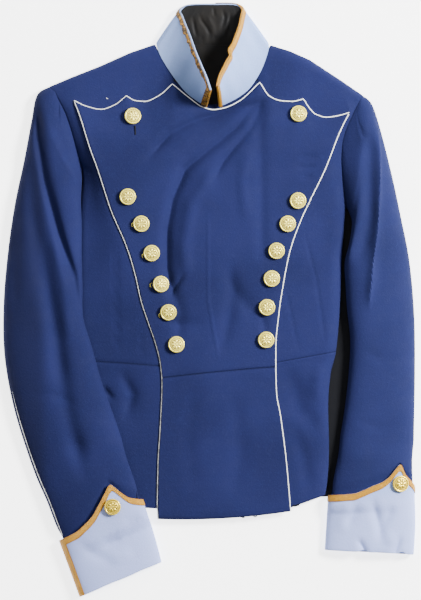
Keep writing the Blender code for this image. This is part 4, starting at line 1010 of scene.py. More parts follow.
def wall(
    name, net, cells, inner, outer, finish, trim=seam_trim, height=as_offset, roll=SEAM_ROLL, flush=None
):
    """One piece of cloth: cells of a net, as a thin shell whose edge rolls down towards its seams.

    flush is a row that meets the next piece with no groove, as a pressed shoulder seam does.
    """
    edges = {}
    for cell in cells:
        corners = net.corners(cell)
        for a, b in zip(corners, corners[1:] + corners[:1]):
            edges[a, b] = cell
    rim = {a: b for a, b in edges if (b, a) not in edges}
    before = {b: a for a, b in rim.items()}
    place = {}
    for cell in cells:
        for key in net.corners(cell):
            place.setdefault(key, net.points[key].copy())
    for key, following in rim.items():
        previous = before[key]
        place[key] += inset(
            net.normals[key],
            net.points[key] - net.points[previous],
            net.points[following] - net.points[key],
            0 if previous[0] == key[0] == flush else trim(previous, key),
            0 if key[0] == following[0] == flush else trim(key, following),
        )
    keys = list(place)
    index = {key: i for i, key in enumerate(keys)}
    count = len(keys)
    points = []
    for offset in (outer, inner):
        for key in keys:
            drop = roll if offset == outer and key in rim and key[0] != flush else 0
            point = place[key] + net.normals[key] * (offset - drop)
            points.append(Vector((point.x, point.y, height(net, key, point))))
    faces = []
    for cell in cells:
        for triangle in net.triangles(cell):
            a, b, c = (index[key] for key in triangle)
            faces.append((a, b, c))
            faces.append((a + count, c + count, b + count))
    for first, second in rim.items():
        a, b = index[first], index[second]
        faces.append((b, a, a + count, b + count))
    mesh = bpy.data.meshes.new(name)
    mesh.from_pydata([point * MM for point in points], [], faces)
    lay_out(mesh, net, keys)
    inside = mesh.attributes.new("inside", "FLOAT", "POINT")
    inside.data.foreach_set("value", [0.0 if key in rim and key[0] != flush else 1.0 for key in keys] * 2)
    return add_part(name, mesh, finish)


def lay_out(mesh, net, keys):
    """A UV map in metres: how far along its row and down its column each point of the net lies."""
    at = {}
    for row, column in sorted(keys):
        here = net.points[row, column]
        beside, above = (row, column - 1), (row - 1, column)
        across = at[beside][0] + (here - net.points[beside]).length * MM if beside in at else 0
        down = at[above][1] + (here - net.points[above]).length * MM if above in at else 0
        at[row, column] = (across, down)
    layer = mesh.uv_layers.new(name="cloth")
    count = len(keys)
    for loop in mesh.loops:
        layer.data[loop.index].uv = at[keys[loop.vertex_index % count]]


def add_part(name, data, finish, small_extra=False):
    """A piece in the scene: it rides on the one body and, unless it is a small extra, stands for its node."""
    obj = bpy.data.objects.new(name + "_look", data)
    if not data.materials:
        data.materials.append(material(finish))
    if isinstance(data, bpy.types.Mesh):
        data.shade_smooth()
        data.set_sharp_from_angle(angle=math.radians(SHARP_DEGREES))
    bpy.context.scene.collection.objects.link(obj)
    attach(obj, "root")
    if not small_extra:
        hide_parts(name)
    return obj


def cord(name, points, radius, finish, small_extra=False, tapered=1):
    """A piping cord, thread or wire along points, growing to its full thickness over the tapered ones."""
    curve = bpy.data.curves.new(name, "CURVE")
    curve.dimensions = "3D"
    curve.bevel_depth = radius * MM
    curve.bevel_resolution = 4
    curve.use_fill_caps = True
    spline = curve.splines.new("POLY")
    spline.points.add(len(points) - 1)
    for number, (spot, point) in enumerate(zip(spline.points, points), 1):
        spot.co = (*(point * MM), 1)
        spot.radius = min(number / tapered, 1)
    return add_part(name, curve, finish, small_extra)


def tree_of(*objects):
    """A search tree of the meshes of some pieces, in metres."""
    points, faces = [], []
    for obj in objects:
        start = len(points)
        points += [vertex.co.copy() for vertex in obj.data.vertices]
        faces += [[start + i for i in face.vertices] for face in obj.data.polygons]
    return BVHTree.FromPolygons(points, faces)


def drop_on(tree, x, y):
    """The highest place of the pieces at (x, y), in millimetres, and the normal there."""
    spot, normal, _, _ = tree.ray_cast(Vector((x * MM, y * MM, 1)), Vector((0, 0, -1)))
    return (spot / MM, normal) if spot is not None else (None, None)


def support_height(bed, place, inner, across):
    """How high a sleeve has to lie at a place to pass over what is beneath it, easing off beside it."""
    tree, below = bed
    below_armhole = ease((below - place.y) / ARMHOLE_FADE)
    if below_armhole == 0:
        return 0
    reach = mix(REACH_BESIDE_BODY, REACH_ACROSS_BODY, ease(-place.y / REACH_CHANGE))
    along = Vector((-across.y, across.x))
    highest = 0
    for step in range(REACH_STEPS + 1):
        share = step / REACH_STEPS
        hold = 1 - ease((share - REACH_HOLD) / (1 - REACH_HOLD))
        for way in (across, along, -along, (across + along) / 2, (across - along) / 2):
            near = place + way * reach * share
            if (near - inner).dot(across) > REACH_PAST_EDGE:
                continue
            spot, _ = drop_on(tree, near.x, near.y)
            if spot is not None:
                highest = max(highest, (min(spot.z, HIGHEST_BED) + REST_MARGIN) * hold)
    return highest * below_armhole


def three_point(first, middle, last, share):
    """A parabola through values at shares 0, 1/2 and 1."""
    bend = middle - (first + last) / 2
    return mix(first, last, share) + 4 * bend * share * (1 - share)


def top_edge_columns():
    """Shares across the plastron of its columns, and the columns of the two peaks beside the collar."""
    start, end = TOP_EDGE[0].points[0][0], TOP_EDGE[-1].points[-1][0]
    shares, peaks = [0.0], []
    for scallop in TOP_EDGE:
        x_first, x_last = scallop.points[0][0], scallop.points[-1][0]
        count = scallop.cells * FINER
        for i in range(1, count + 1):
            shares.append((mix(x_first, x_last, i / count) - start) / (end - start))
        peaks.append(len(shares) - 1)
    return shares, (peaks[1], peaks[2])


def top_edge_y(share):
    x = mix(TOP_EDGE[0].points[0][0], TOP_EDGE[-1].points[-1][0], share)
    for scallop in TOP_EDGE:
        if x <= scallop.points[-1][0] + 1e-6:
            return value_at(scallop.points, x)
    return TOP_EDGE[-1].points[-1][1]


SIDE_SHARES = [(i / SIDE_CELLS) ** SIDE_CROWDING for i in range(SIDE_CELLS + 1)]
PLASTRON_SHARES, COLLAR_PEAKS = top_edge_columns()
PLASTRON_CELLS = len(PLASTRON_SHARES) - 1
FIRST_PLASTRON_COLUMN = SIDE_CELLS
LAST_PLASTRON_COLUMN = SIDE_CELLS + PLASTRON_CELLS
LAST_COLUMN = LAST_PLASTRON_COLUMN + SIDE_CELLS
CENTRE_COLUMN = FIRST_PLASTRON_COLUMN + sum(COLLAR_PEAKS) // 2
NECK_COLUMNS = [FIRST_PLASTRON_COLUMN + peak for peak in COLLAR_PEAKS]
ROW_CUTS = [cut + i / count for cut, count in ROW_STEPS.items() for i in range(count)] + [SCALLOP]
HEM_ROW = 0
PLASTRON_HEM_ROW = -1
PLASTRON_WAIST_ROW = ROW_CUTS.index(PLASTRON_WAIST)
WAIST_ROW = ROW_CUTS.index(WAIST)
SCALLOP_ROW = ROW_CUTS.index(SCALLOP)
SHOULDER_ROW = SCALLOP_ROW + SHOULDER_ROWS


def cut_at(t):
    """The values of the cut at t: Y runs straight between cuts, and Z on smooth curves along the body."""
    low = min(int(t), SCALLOP - 1)
    values = {
        name: mix(getattr(CUTS[low], name), getattr(CUTS[low + 1], name), t - low)
        for name in Cut._fields[:5]
    }
    for name in Cut._fields[5:]:
        along = [(cut.y_mid, getattr(cut, name)) for cut in CUTS.values()]
        values[name] = value_at(along, values["y_mid"])
    return Cut(**values)


def side_point(cut, side, share):
    """A point of a front between its side edge, at share 0, and the plastron's edge, at share 1."""
    if side == "right":
        y_edge, y_plastron = cut.y_right, cut.y_plastron_right
        z_edge, z_side, z_plastron = cut.z_right_edge, cut.z_right, cut.z_plastron_right
        x_edge, x_plastron = value_at(RIGHT_SIDE, y_edge), value_at(PLASTRON_RIGHT_EDGE, y_plastron)
    else:
        y_edge, y_plastron = cut.y_left, cut.y_plastron_left
        z_edge, z_side, z_plastron = cut.z_left_edge, cut.z_left, cut.z_plastron_left
        x_edge, x_plastron = value_at(LEFT_SIDE, y_edge), value_at(PLASTRON_LEFT_EDGE, y_plastron)
    x, y = mix(x_edge, x_plastron, share), mix(y_edge, y_plastron, share)
    radius = min(SIDE_ROLL[side], MOST_ROLL_SHARE * abs(x_plastron - x_edge))
    inside = clamp(abs(x - x_edge) / radius)
    roll = math.sqrt(1 - (1 - inside) ** 2)
    crown = mix(z_side, z_plastron, ease(share))
    z = mix(z_edge, crown, roll) + (fold_height(BODY_FOLDS, x, y) + fold_height(BODY_CREASES, x, y)) * roll
    return Vector((x, y, z))


def middle_point(t, share):
    """A point of the front under the plastron, at a share of the way across it."""
    if t < 0:
        cut = CUTS[HEM]
        y = three_point(*PLASTRON_HEM_Y, share)
        z_drop = PLASTRON_HEM_DROP
        y_first, y_last = PLASTRON_HEM_Y[0], PLASTRON_HEM_Y[2]
    else:
        cut = cut_at(t)
        y = three_point(cut.y_plastron_right, cut.y_mid, cut.y_plastron_left, share)
        z_drop = 0
        y_first, y_last = cut.y_plastron_right, cut.y_plastron_left
        if t > CHEST:
            chest = CUTS[CHEST]
            y_chest = three_point(chest.y_plastron_right, chest.y_mid, chest.y_plastron_left, share)
            y = mix(y_chest, top_edge_y(share), t - CHEST)
    x_first = value_at(PLASTRON_RIGHT_EDGE, y_first)
    x_last = value_at(PLASTRON_LEFT_EDGE, y_last)
    x = mix(x_first, x_last, share)
    z = three_point(cut.z_plastron_right, cut.z_mid, cut.z_plastron_left, share) - z_drop
    return Vector((x, y, z + fold_height(BODY_FOLDS, x, y) + fold_height(BODY_CREASES, x, y)))


def front_point(t, column):
    if column < FIRST_PLASTRON_COLUMN:
        return side_point(cut_at(t), "right", SIDE_SHARES[column])
    if column > LAST_PLASTRON_COLUMN:
        return side_point(cut_at(t), "left", SIDE_SHARES[LAST_COLUMN - column])
    return middle_point(t, PLASTRON_SHARES[column - FIRST_PLASTRON_COLUMN])


def seam_share(column):
    """How far along a shoulder seam, from armhole to collar, a column meets it."""
    right_side = column <= NECK_COLUMNS[0]
    from_edge = column if right_side else LAST_COLUMN - column
    if from_edge <= SIDE_CELLS:
        return SIDE_SEAM_SHARE * SIDE_SHARES[from_edge]
    shares = PLASTRON_SHARES if right_side else [1 - s for s in reversed(PLASTRON_SHARES)]
    peak = COLLAR_PEAKS[0] if right_side else PLASTRON_CELLS - COLLAR_PEAKS[1]
    return mix(SIDE_SEAM_SHARE, 1, shares[from_edge - SIDE_CELLS] / shares[peak])


def shoulder_side(column):
    return SHOULDERS["right" if column <= NECK_COLUMNS[0] else "left"]


def shoulder_point(scallop_point, column, step):
    """A point of a front above the scalloped edge, on the step-th row towards the shoulder seam."""
    shoulder = shoulder_side(column)
    seam = on_path(shoulder.seam, seam_share(column))
    share = step / SHOULDER_ROWS
    if column in NECK_COLUMNS:
        path = [scallop_point.xy, *map(Vector, shoulder.under_collar), seam]
        return Vector((*on_path(path, share), mix(scallop_point.z, SHOULDER_HEIGHT, min(3 * share, 1))))
    return scallop_point.lerp(Vector((*seam, SHOULDER_HEIGHT)), share)


def front_net():
    """The whole front's outer side, with the plastron's hem below it and the turn-in under the collar."""
    points, cells = {}, []
    columns = range(LAST_COLUMN + 1)
    middle = range(FIRST_PLASTRON_COLUMN, LAST_PLASTRON_COLUMN + 1)
    for column in middle:
        share = PLASTRON_SHARES[column - FIRST_PLASTRON_COLUMN]
        points[PLASTRON_HEM_ROW, column] = middle_point(-1, share)
    for row, t in enumerate(ROW_CUTS):
        for column in columns:
            points[row, column] = front_point(t, column)
    centre = Vector((*NECK_CENTRE, 0))
    for column in columns:
        edge = points[SCALLOP_ROW, column]
        if NECK_COLUMNS[0] < column < NECK_COLUMNS[1]:
            inward = (centre - edge) * Vector((1, 1, 0))
            points[SCALLOP_ROW + 1, column] = edge + inward.normalized() * NECK_TURN_IN
            continue
        for step in range(1, SHOULDER_ROWS + 1):
            points[SCALLOP_ROW + step, column] = shoulder_point(edge, column, step)
    for row in range(PLASTRON_HEM_ROW, SHOULDER_ROW):
        for column in range(LAST_COLUMN):
            corners = [(row, column), (row, column + 1), (row + 1, column), (row + 1, column + 1)]
            if all(key in points for key in corners):
                cells.append((row, column))
    return Net(points, cells)


def block(net, rows, columns):
    """The net's cells within a range of rows and a range of columns."""
    return [cell for cell in net.cells if cell[0] in rows and cell[1] in columns]


def edge_lift(x, y):
    """How far the plastron's upper right edge stands off the front below it."""
    first, last = STAND_OFF_FROM
    along = ease((y - first) / STAND_OFF_EASE) * ease((last - y) / STAND_OFF_EASE)
    inwards = max(x - value_at(PLASTRON_RIGHT_EDGE, y), 0)
    return STAND_OFF * along * math.exp(-inwards / STAND_OFF_WIDTH)


def standing_off(_net, _key, point):
    return point.z + edge_lift(point.x, point.y)


def plastron_trim(first, second):
    """The plastron makes room for the piping on all sides but its waist seam and hem."""
    rows = {first[0], second[0]}
    if rows == {PLASTRON_WAIST_ROW}:
        return SEAM_GAP / 2
    if rows == {PLASTRON_HEM_ROW}:
        return 0
    return PIPING_ROOM


def front_pieces(net):
    upper = range(WAIST_ROW, SHOULDER_ROW)
    lower = range(HEM_ROW, WAIST_ROW)
    right = range(0, CENTRE_COLUMN)
    left = range(CENTRE_COLUMN, LAST_COLUMN)
    middle = range(FIRST_PLASTRON_COLUMN, LAST_PLASTRON_COLUMN)
    pieces = {}
    for name, rows, columns, flush in (
        ("front_right", upper, right, SHOULDER_ROW),
        ("front_left", upper, left, SHOULDER_ROW),
        ("skirt_right", lower, right, None),
        ("skirt_left", lower, left, None),
    ):
        pieces[name] = wall(name, net, block(net, rows, columns), -CLOTH, 0, "blue_wool", flush=flush)
    bed, top = LIE_GAP, LIE_GAP + PLASTRON_CLOTH
    breast = block(net, range(PLASTRON_WAIST_ROW, SCALLOP_ROW), middle)
    pieces["plastron"] = wall("plastron", net, breast, bed, top, "blue_wool", plastron_trim, standing_off)
    flap = block(net, range(PLASTRON_HEM_ROW, PLASTRON_WAIST_ROW), middle)
    pieces["plastron_skirt"] = wall("plastron_skirt", net, flap, bed, top, "blue_wool", plastron_trim)
    return pieces


def plastron_piping(net):
    """White piping up both edges of the plastron and along its top, lying on the fronts."""
    def line(keys):
        points = [net.points[key] + net.normals[key] * (LIE_GAP + PIPING_RADIUS) for key in keys]
        return [point + Vector((0, 0, edge_lift(point.x, point.y))) for point in points]

    rows = range(PLASTRON_HEM_ROW, SCALLOP_ROW + 1)
    for name, column in (("right", FIRST_PLASTRON_COLUMN), ("left", LAST_PLASTRON_COLUMN)):
        points = line([(row, column) for row in rows])
        tip_room = (points[-1] - points[-2]).normalized() * 2 * (PIPING_RADIUS + SEAM_GAP)
        points[-1] = points[-1] - tip_room
        cord(f"piping_{name}", points, PIPING_RADIUS, "white_piping")
    columns = range(FIRST_PLASTRON_COLUMN, LAST_PLASTRON_COLUMN + 1)
    cord("piping_top", line([(SCALLOP_ROW, column) for column in columns]), PIPING_RADIUS, "white_piping")


def back_row(t):
    """The back's row at t, straight between the table's rows."""
    start = min(int(t), len(BACK_ROWS) - 2)
    pairs = zip(BACK_ROWS[start], BACK_ROWS[start + 1])
    return BackRow(*(mix(first, second, t - start) for first, second in pairs))


def under_sleeve(y_underarm, y):
    """1 where the back lies under a sleeve, easing off at the underarm and above the hem."""
    return ease((y_underarm - y) / UNDERLAP_EASE) * ease((y - UNDERLAP_FROM_Y) / UNDERLAP_RUN)


def with_underlap(row):
    """The back's row made wider between underarms and hem, to lie under the sleeves' inner edges."""
    underarm = BACK_ROWS[BACK_UNDERARM_ROW]
    right = under_sleeve(underarm.y_right, row.y_right)
    left = under_sleeve(underarm.y_left, row.y_left)
    return row._replace(x_right=row.x_right - BACK_UNDERLAP * right, x_left=row.x_left + BACK_UNDERLAP * left)


BACK_STEPS = [
    with_underlap(back_row(i / BACK_FINER)) for i in range((len(BACK_ROWS) - 1) * BACK_FINER + 1)
]
BACK_TOP_ROW = len(BACK_STEPS) + len(LAP_ANGLES)


def back_columns():
    """The front's column beside each of the back's columns, or None for those across the neck."""
    right = list(range(0, NECK_COLUMNS[0] + 1))
    left = list(range(NECK_COLUMNS[1], LAST_COLUMN + 1))
    return right + [None] * len(BACK_NECKLINE) + left


def lap_frame(column):
    """Seam point, outline point and the way out between them, for one column of a shoulder lap."""
    shoulder = shoulder_side(column)
    share = seam_share(column)
    seam, outline = on_path(shoulder.seam, share), on_path(shoulder.outline, share)
    return seam, outline, (outline - seam).normalized()


def lap_point(column, degrees):
    """A point of a shoulder's roll: 90 degrees lies on the surface, and -90 is the seam."""
    seam, outline, out = lap_frame(column)
    angle, half = math.radians(degrees), SHOULDER_HEIGHT / 2
    run = SHOULDER_TURN_IN if degrees > 0 else (outline - seam).length
    return Vector((*(outline - out * run * (1 - math.cos(angle))), half - half * math.sin(angle)))


def back_crease(x, y):
    """Creases pressed up into the underside of the back."""
    return max(fold_height(BACK_CREASES, x, y), 0)


def back_net():
    """The back's outer side: flat on the surface, then rolled round each shoulder to the seam."""
    points, cells = {}, []
    columns = back_columns()
    last_flat = len(BACK_STEPS)
    for i, column in enumerate(columns):
        if column is None:
            continue
        _, outline, out = lap_frame(column)
        spot = outline - out * SHOULDER_TURN_IN
        points[last_flat, i] = Vector((*spot, 0))
    neck = [i for i, column in enumerate(columns) if column is None]
    for i, spot in zip(neck, BACK_NECKLINE):
        points[last_flat, i] = Vector((*spot, 0))
    x_first, x_last = points[last_flat, 0].x, points[last_flat, len(columns) - 1].x
    for row, spec in enumerate(BACK_STEPS):
        for i in range(len(columns)):
            share = (points[last_flat, i].x - x_first) / (x_last - x_first)
            x = mix(spec.x_right, spec.x_left, share)
            y = mix(spec.y_right, spec.y_left, share)
            points[row, i] = Vector((x, y, back_crease(x, y) * ease(row / BACK_FINER)))
    for i, column in enumerate(columns):
        if column is None:
            continue
        for step, degrees in enumerate(LAP_ANGLES, 1):
            points[last_flat + step, i] = lap_point(column, degrees)
    for row in range(last_flat + len(LAP_ANGLES)):
        for i in range(len(columns) - 1):
            corners = [(row, i), (row, i + 1), (row + 1, i), (row + 1, i + 1)]
            if all(key in points for key in corners):
                cells.append((row, i))
    return Net(points, cells, flip=True)


def share_seam_normals(front, back):
    """The fronts and the back lie alike along the shoulder seams."""
    for i, column in enumerate(back_columns()):
        if column is not None:
            normal = front.normals[SHOULDER_ROW, column] + back.normals[BACK_TOP_ROW, i]
            front.normals[SHOULDER_ROW, column] = normal.normalized()
            back.normals[BACK_TOP_ROW, i] = normal.normalized()


def back_lining():
    """A flat dark lining on the inside of the back, its top edge turned up against the collar's lining."""
    points, cells = {}, []
    rows = BACK_STEPS[: -BACK_FINER]
    for column in range(LINING_COLUMNS + 1):
        share = column / LINING_COLUMNS
        for row, spec in enumerate(rows):
            x = mix(spec.x_right + LINING_MARGIN, spec.x_left - LINING_MARGIN, share)
            y = mix(spec.y_right, spec.y_left, share)
            points[row, column] = Vector((x, y, LINING_BED + back_crease(x, y)))
        top = on_path(LINING_TOP, share)
        last = points[len(rows) - 1, column]
        for step in range(1, BACK_FINER + 1):
            spot = last.xy.lerp(top, step / BACK_FINER)
            points[len(rows) - 1 + step, column] = Vector((*spot, LINING_BED))
        if abs(top.x) < NECK_HALF_WIDTH:
            end = points[len(rows) - 1 + BACK_FINER, column]
            end.y += LINING_TURN_UP
            end.z = COLLAR_LINING_FOOT
    for row in range(len(rows) - 1 + BACK_FINER):
        for column in range(LINING_COLUMNS):
            cells.append((row, column))
    net = Net(points, cells)
    return wall("back_lining", net, cells, 0, LINING, "dark_lining", roll=0)


def notch(t):
    """How far the left front edge of the collar is pushed sideways where its lace is nicked."""
    return sum(size * bell(t - place, width) for size, place, width in COLLAR_NOTCH)


def collar_net(wave, finer_by=COLLAR_FINER, rows=COLLAR_ROWS):
    """The collar's outer face, round from the right front edge to the left, and from neck seam to top."""
    last = len(COLLAR) - 1
    steps = [i / finer_by for i in range(last * finer_by + 1)]
    points, cells = {}, []
    for column, t in enumerate(steps):
        values = Ruling(*row_at(COLLAR, t))
        neck = Vector((values.neck_x, values.neck_y, max(values.neck_z, 0)))
        top = Vector((values.top_x, values.top_y, max(values.top_z, COLLAR_LOWEST_TOP)))
        for row in range(rows + 1):
            share = row / rows
            points[row, column] = neck.lerp(top, share) + Vector((notch(t) * share**3, 0, 0))
            if row < rows and column + 1 < len(steps):
                cells.append((row, column))
    net = Net(points, cells, flip=True)
    for key, point in points.items():
        point += net.normals[key] * wave(key[0] / rows, steps[key[1]], point)
    return net


def on_neck(net, key, point):
    """The collar's bottom edge is cut level, so that no layer of it goes below the neck seam."""
    return max(point.z, net.points[key].z) if key[0] == 0 else point.z


def collar_wave(height, t, _point):
    """How far the worn collar bows in and out between its seams."""
    return math.sin(math.pi * height) * waves(COLLAR_WAVES, t)


def gathers(height, t, point):
    """Folds of the satin inside the collar: drawn in at the neck seam, with long ones across the back."""
    folds = sum(
        size * math.sin(pace * t + sway * math.sin(sway_pace * t + start))
        for size, pace, sway, sway_pace, start in GATHERS
    )
    small = GATHER_DEPTH * (1 - GATHER_EASING * height) * max(folds, 0)
    long = SATIN_SLACK + fold_height(SATIN_FOLDS, point.x, point.y)
    return -max(small + long, 0) * min(SATIN_HELD * height * (1 - height), 1)


def ragged(column):
    """How far the worn lace on the collar's right side is frayed at a column, from 0 to 1."""
    return clamp(FRAY_MIDDLE + waves(FRAY_WAVES, column))


def lace_net(net, last):
    """The collar's net run on over its top edge and ends, for the lace that is turned over there."""
    half = last // 2
    points = dict(net.points)
    for column in range(last + 1):
        top, below = net.points[COLLAR_ROWS, column], net.points[COLLAR_ROWS - 1, column]
        up = (top - below).normalized()
        for step, depth in enumerate(TURN_DEPTHS, 1):
            inwards = net.normals[COLLAR_ROWS, column] * depth
            points[COLLAR_ROWS + step, column] = top + up * TURN_RISE - inwards
        if column < half:
            frayed = ragged(column)
            low = COLLAR_ROWS - LACE_CELLS["right"]
            points[COLLAR_ROWS, column] = top - up * (TOP_FRAY + frayed)
            points[low, column] = net.points[low, column] + up * LOW_FRAY * frayed
    for row in range(COLLAR_ROWS + 1):
        for column, beside, way in ((0, 1, -1), (last, last - 1, 1)):
            end = net.points[row, column]
            out = (end - net.points[row, beside]).normalized()
            for step, depth in enumerate(TURN_DEPTHS, 1):
                inwards = net.normals[row, column] * depth
                points[row, column + way * step] = end + out * TURN_RISE - inwards
    turns = len(TURN_DEPTHS)
    cells = []
    for row in range(COLLAR_ROWS + turns):
        for column in range(-turns, last + turns):
            side = "right" if column < half else "left"
            in_ends = not LACE_END_CELLS["right"] <= column < last - LACE_END_CELLS["left"]
            in_band = row >= COLLAR_ROWS - LACE_CELLS[side]
            turned_up = row >= COLLAR_ROWS
            if turned_up and (side == "right" or not 0 <= column < last):
                continue
            if in_band or in_ends:
                cells.append((row, column))
    kept = {(row + i, column + j) for row, column in cells for i in (0, 1) for j in (0, 1)}
    return Net({key: point for key, point in points.items() if key in kept}, cells, flip=True)


def collar_pieces():
    net = collar_net(collar_wave)
    last = max(key[1] for key in net.points)
    wall("collar", net, net.cells, -COLLAR_CLOTH, 0, "light_blue_wool", no_trim, on_neck, HEM_ROLL)
    lace = lace_net(net, last)
    wall("collar_lace", lace, lace.cells, SEWN_LIFT, LACE_THICKNESS, "gold_lace", no_trim, on_neck, LACE_ROLL)
    top = -COLLAR_CLOTH - LIE_GAP

    def lining_trim(first, second):
        return 0 if first[0] == second[0] == 0 else COLLAR_LINING_MARGIN

    inside = collar_net(gathers, SATIN_FINER, SATIN_ROWS)
    wall("collar_lining", inside, inside.cells, top - LINING, top, "dark_lining", lining_trim, on_neck, 0)


def armhole_spot(column, u):
    """A point of the armhole's upper side, u steps along it: three over the shoulder's roll, nine down."""
    if u <= ROLL_STEPS:
        return lap_point(column, -90 * u / ROLL_STEPS)
    up = SHOULDER_STEPS - (u - ROLL_STEPS)
    if up > 0:
        return shoulder_point(front_point(SCALLOP, column), column, up / SHOULDER_STEPS * SHOULDER_ROWS)
    return front_point(value_at(ARMHOLE_CUTS, -up), column)


def armhole_ring(side):
    """The sleeve's first ring: over the shoulder lap, down the front's armhole and back along the surface."""
    column = 0 if side == "right" else LAST_COLUMN
    upper = [armhole_spot(column, i / ARM_FINER) for i in range(UPPER_STEPS * ARM_FINER + 1)]
    specs = BACK_ROWS[BACK_UNDERARM_ROW:]
    if side == "right":
        under = [Vector((spec.x_right, spec.y_right, 0)) for spec in specs]
    else:
        under = [Vector((spec.x_left, spec.y_left, 0)) for spec in specs]
    under += [lap_point(column, 90), lap_point(column, 45)]
    outward = Vector((-1 if side == "right" else 1, 0, 0))
    ring = upper + finer(under, UNDER_FINER)
    return [point + outward * ARMHOLE_GAP for point in ring]


def finer(values, steps):
    """Values or points with steps between each two, straight from one to the next."""
    last = (len(values) - 1) * steps
    places = [(min(i // steps, len(values) - 2), i) for i in range(last + 1)]
    return [mix(values[k], values[k + 1], i / steps - k) for k, i in places]


def arm_steps(side):
    last = (WRIST[side] + 2) * ARM_ROWS
    return [i / ARM_ROWS for i in range(last + 1)]


def near_wrist(side, t, span):
    """0 up the sleeve, rising to 1 over a span of rings before or at the wrist."""
    return ease((t - WRIST[side] + span[0]) / span[1])


def round_share(column, upper_cells):
    """The share of the way across a sleeve's upper panel of a column, close together at both edges."""
    return (1 - math.cos(math.pi * column / upper_cells)) / 2


def arm_ring(side, t, upper_cells, bed):
    """One ring of a sleeve without its head: over the top from outer to inner edge, and back below."""
    values = Arm(*row_at(ARMS[side], t))
    outer = Vector((values.outer_x, values.outer_y))
    inner = Vector((values.inner_x, values.inner_y))
    across = (inner - outer).normalized()
    in_cuff = near_wrist(side, t, INTO_CUFF)
    outer, inner = outer + across * CUFF_INSET * in_cuff, inner - across * CUFF_INSET * in_cuff
    width = (inner - outer).length
    raised = (CLOTH + LIE_GAP + CUFF_ROOM) * in_cuff
    heights = {
        "outer": support_height(bed, outer, inner, across) + OUTER_PARTING + raised,
        "inner": support_height(bed, inner, inner, across) + INNER_PARTING + raised,
    }
    ring = []
    for j in range(upper_cells + 1):
        share = round_share(j, upper_cells)
        from_peak, to_peak = CUFF_PEAK[side]
        pull = bell(share - from_peak, CUFF_PEAK_WIDTH) * near_wrist(side, t, TO_CUFF_PEAK)
        share += (to_peak - from_peak) * pull
        spot = outer.lerp(inner, share)
        dome = max(1 - abs(2 * share - 1) ** SLEEVE_FLATNESS, 0) ** (1 / SLEEVE_FLATNESS)
        z = mix(heights["outer"], heights["inner"], share) + values.loft * dome
        z += (fold_height(SLEEVE_FOLDS, *spot) + fold_height(SLEEVE_CREASES, *spot)) * dome
        ring.append(Vector((*spot, z)))
    edge, past = UNDER_EDGES
    middle = [width * share for share in UNDER_MIDDLE]
    from_inner = finer([edge, past, *middle, width - past, width - edge], UNDER_FINER)
    for j, distance in enumerate(from_inner):
        spot = inner - across * distance
        z = support_height(bed, spot, inner, across) + raised
        from_end = min(j, len(from_inner) - 1 - j) / UNDER_FINER
        z += EDGE_LIFT * max(1 - from_end, 0)
        z += UNDER_CREASE_SHARE * abs(fold_height(SLEEVE_CREASES, *spot)) * clamp(from_end)
        ring.append(Vector((*spot, z)))
    return ring


def arm_net(side, bed):
    """The whole sleeve's outer side, with rings running on to the cuff's end."""
    head, upper_cells = armhole_ring(side), UPPER_STEPS * ARM_FINER
    plain_head = arm_ring(side, 0, upper_cells, bed)
    steps = arm_steps(side)
    points, cells = {}, []
    for row, t in enumerate(steps):
        fade = max(0, 1 - t / HEAD_FADE) ** HEAD_FADE_POWER
        ring = arm_ring(side, t, upper_cells, bed)
        for column, point in enumerate(ring):
            points[row, column] = point + (head[column] - plain_head[column]) * fade
            if row + 1 < len(steps):
                cells.append((row, column))
    net = Net(points, cells, around=len(head), flip=side == "right")
    return net, upper_cells, steps


def edge_rise(side, net, wrist, upper_cells, column):
    """How far the cuff's upper edge rises above the wrist line at a column; below, it is straight."""
    if column > upper_cells:
        return 0
    outer, inner = net.points[wrist, 0], net.points[wrist, upper_cells]
    share = (net.points[wrist, column] - outer).dot(inner - outer) / (inner - outer).length_squared
    return value_at(CUFF_RISE[side], share)


def sampled_net(arm, side, row_places):
    """A net whose rows lie at given places, counted in rows, along each column of the sleeve's net."""
    points, normals, cells = {}, {}, []
    last = max(key[0] for key in arm.points)
    for column in range(arm.around):
        places = row_places(column)
        for row, place in enumerate(places):
            start = min(int(place), last - 1)
            points[row, column], normals[row, column] = arm.between(start, column, place - start)
            if row + 1 < len(places):
                cells.append((row, column))
    net = Net(points, cells, around=arm.around, flip=side == "right")
    net.normals = normals
    return net


def sleeve_pieces(side, arm, upper_cells, steps):
    """Upper and under panel of a sleeve, meeting along its two edges and ending inside the cuff."""
    wrist = steps.index(WRIST[side])
    plain_rows = list(range(steps.index(WRIST[side] - 1) + 1))

    def row_places(column):
        line = [arm.points[row, column] for row in range(len(steps))]
        rise = edge_rise(side, arm, wrist, upper_cells, column)
        edge, end = (run_back(line, wrist, rise - past) for past in (0, SLEEVE_PAST_CUFF_EDGE))
        return [*plain_rows, *finer([plain_rows[-1], edge], ARM_ROWS)[1:], end]

    net = sampled_net(arm, side, row_places)
    edge_row = len(plain_rows) - 1 + ARM_ROWS
    for (row, column), point in net.points.items():
        if column <= upper_cells and row > edge_row - len(CUFF_DIPS):
            point -= net.normals[row, column] * CUFF_DIPS[max(edge_row - row, 0)]
    upper = [cell for cell in net.cells if cell[1] < upper_cells]
    under = [cell for cell in net.cells if cell[1] >= upper_cells]
    wall(f"sleeve_upper_{side}", net, upper, -CLOTH, 0, "blue_wool")
    wall(f"sleeve_under_{side}", net, under, -CLOTH, 0, "blue_wool")


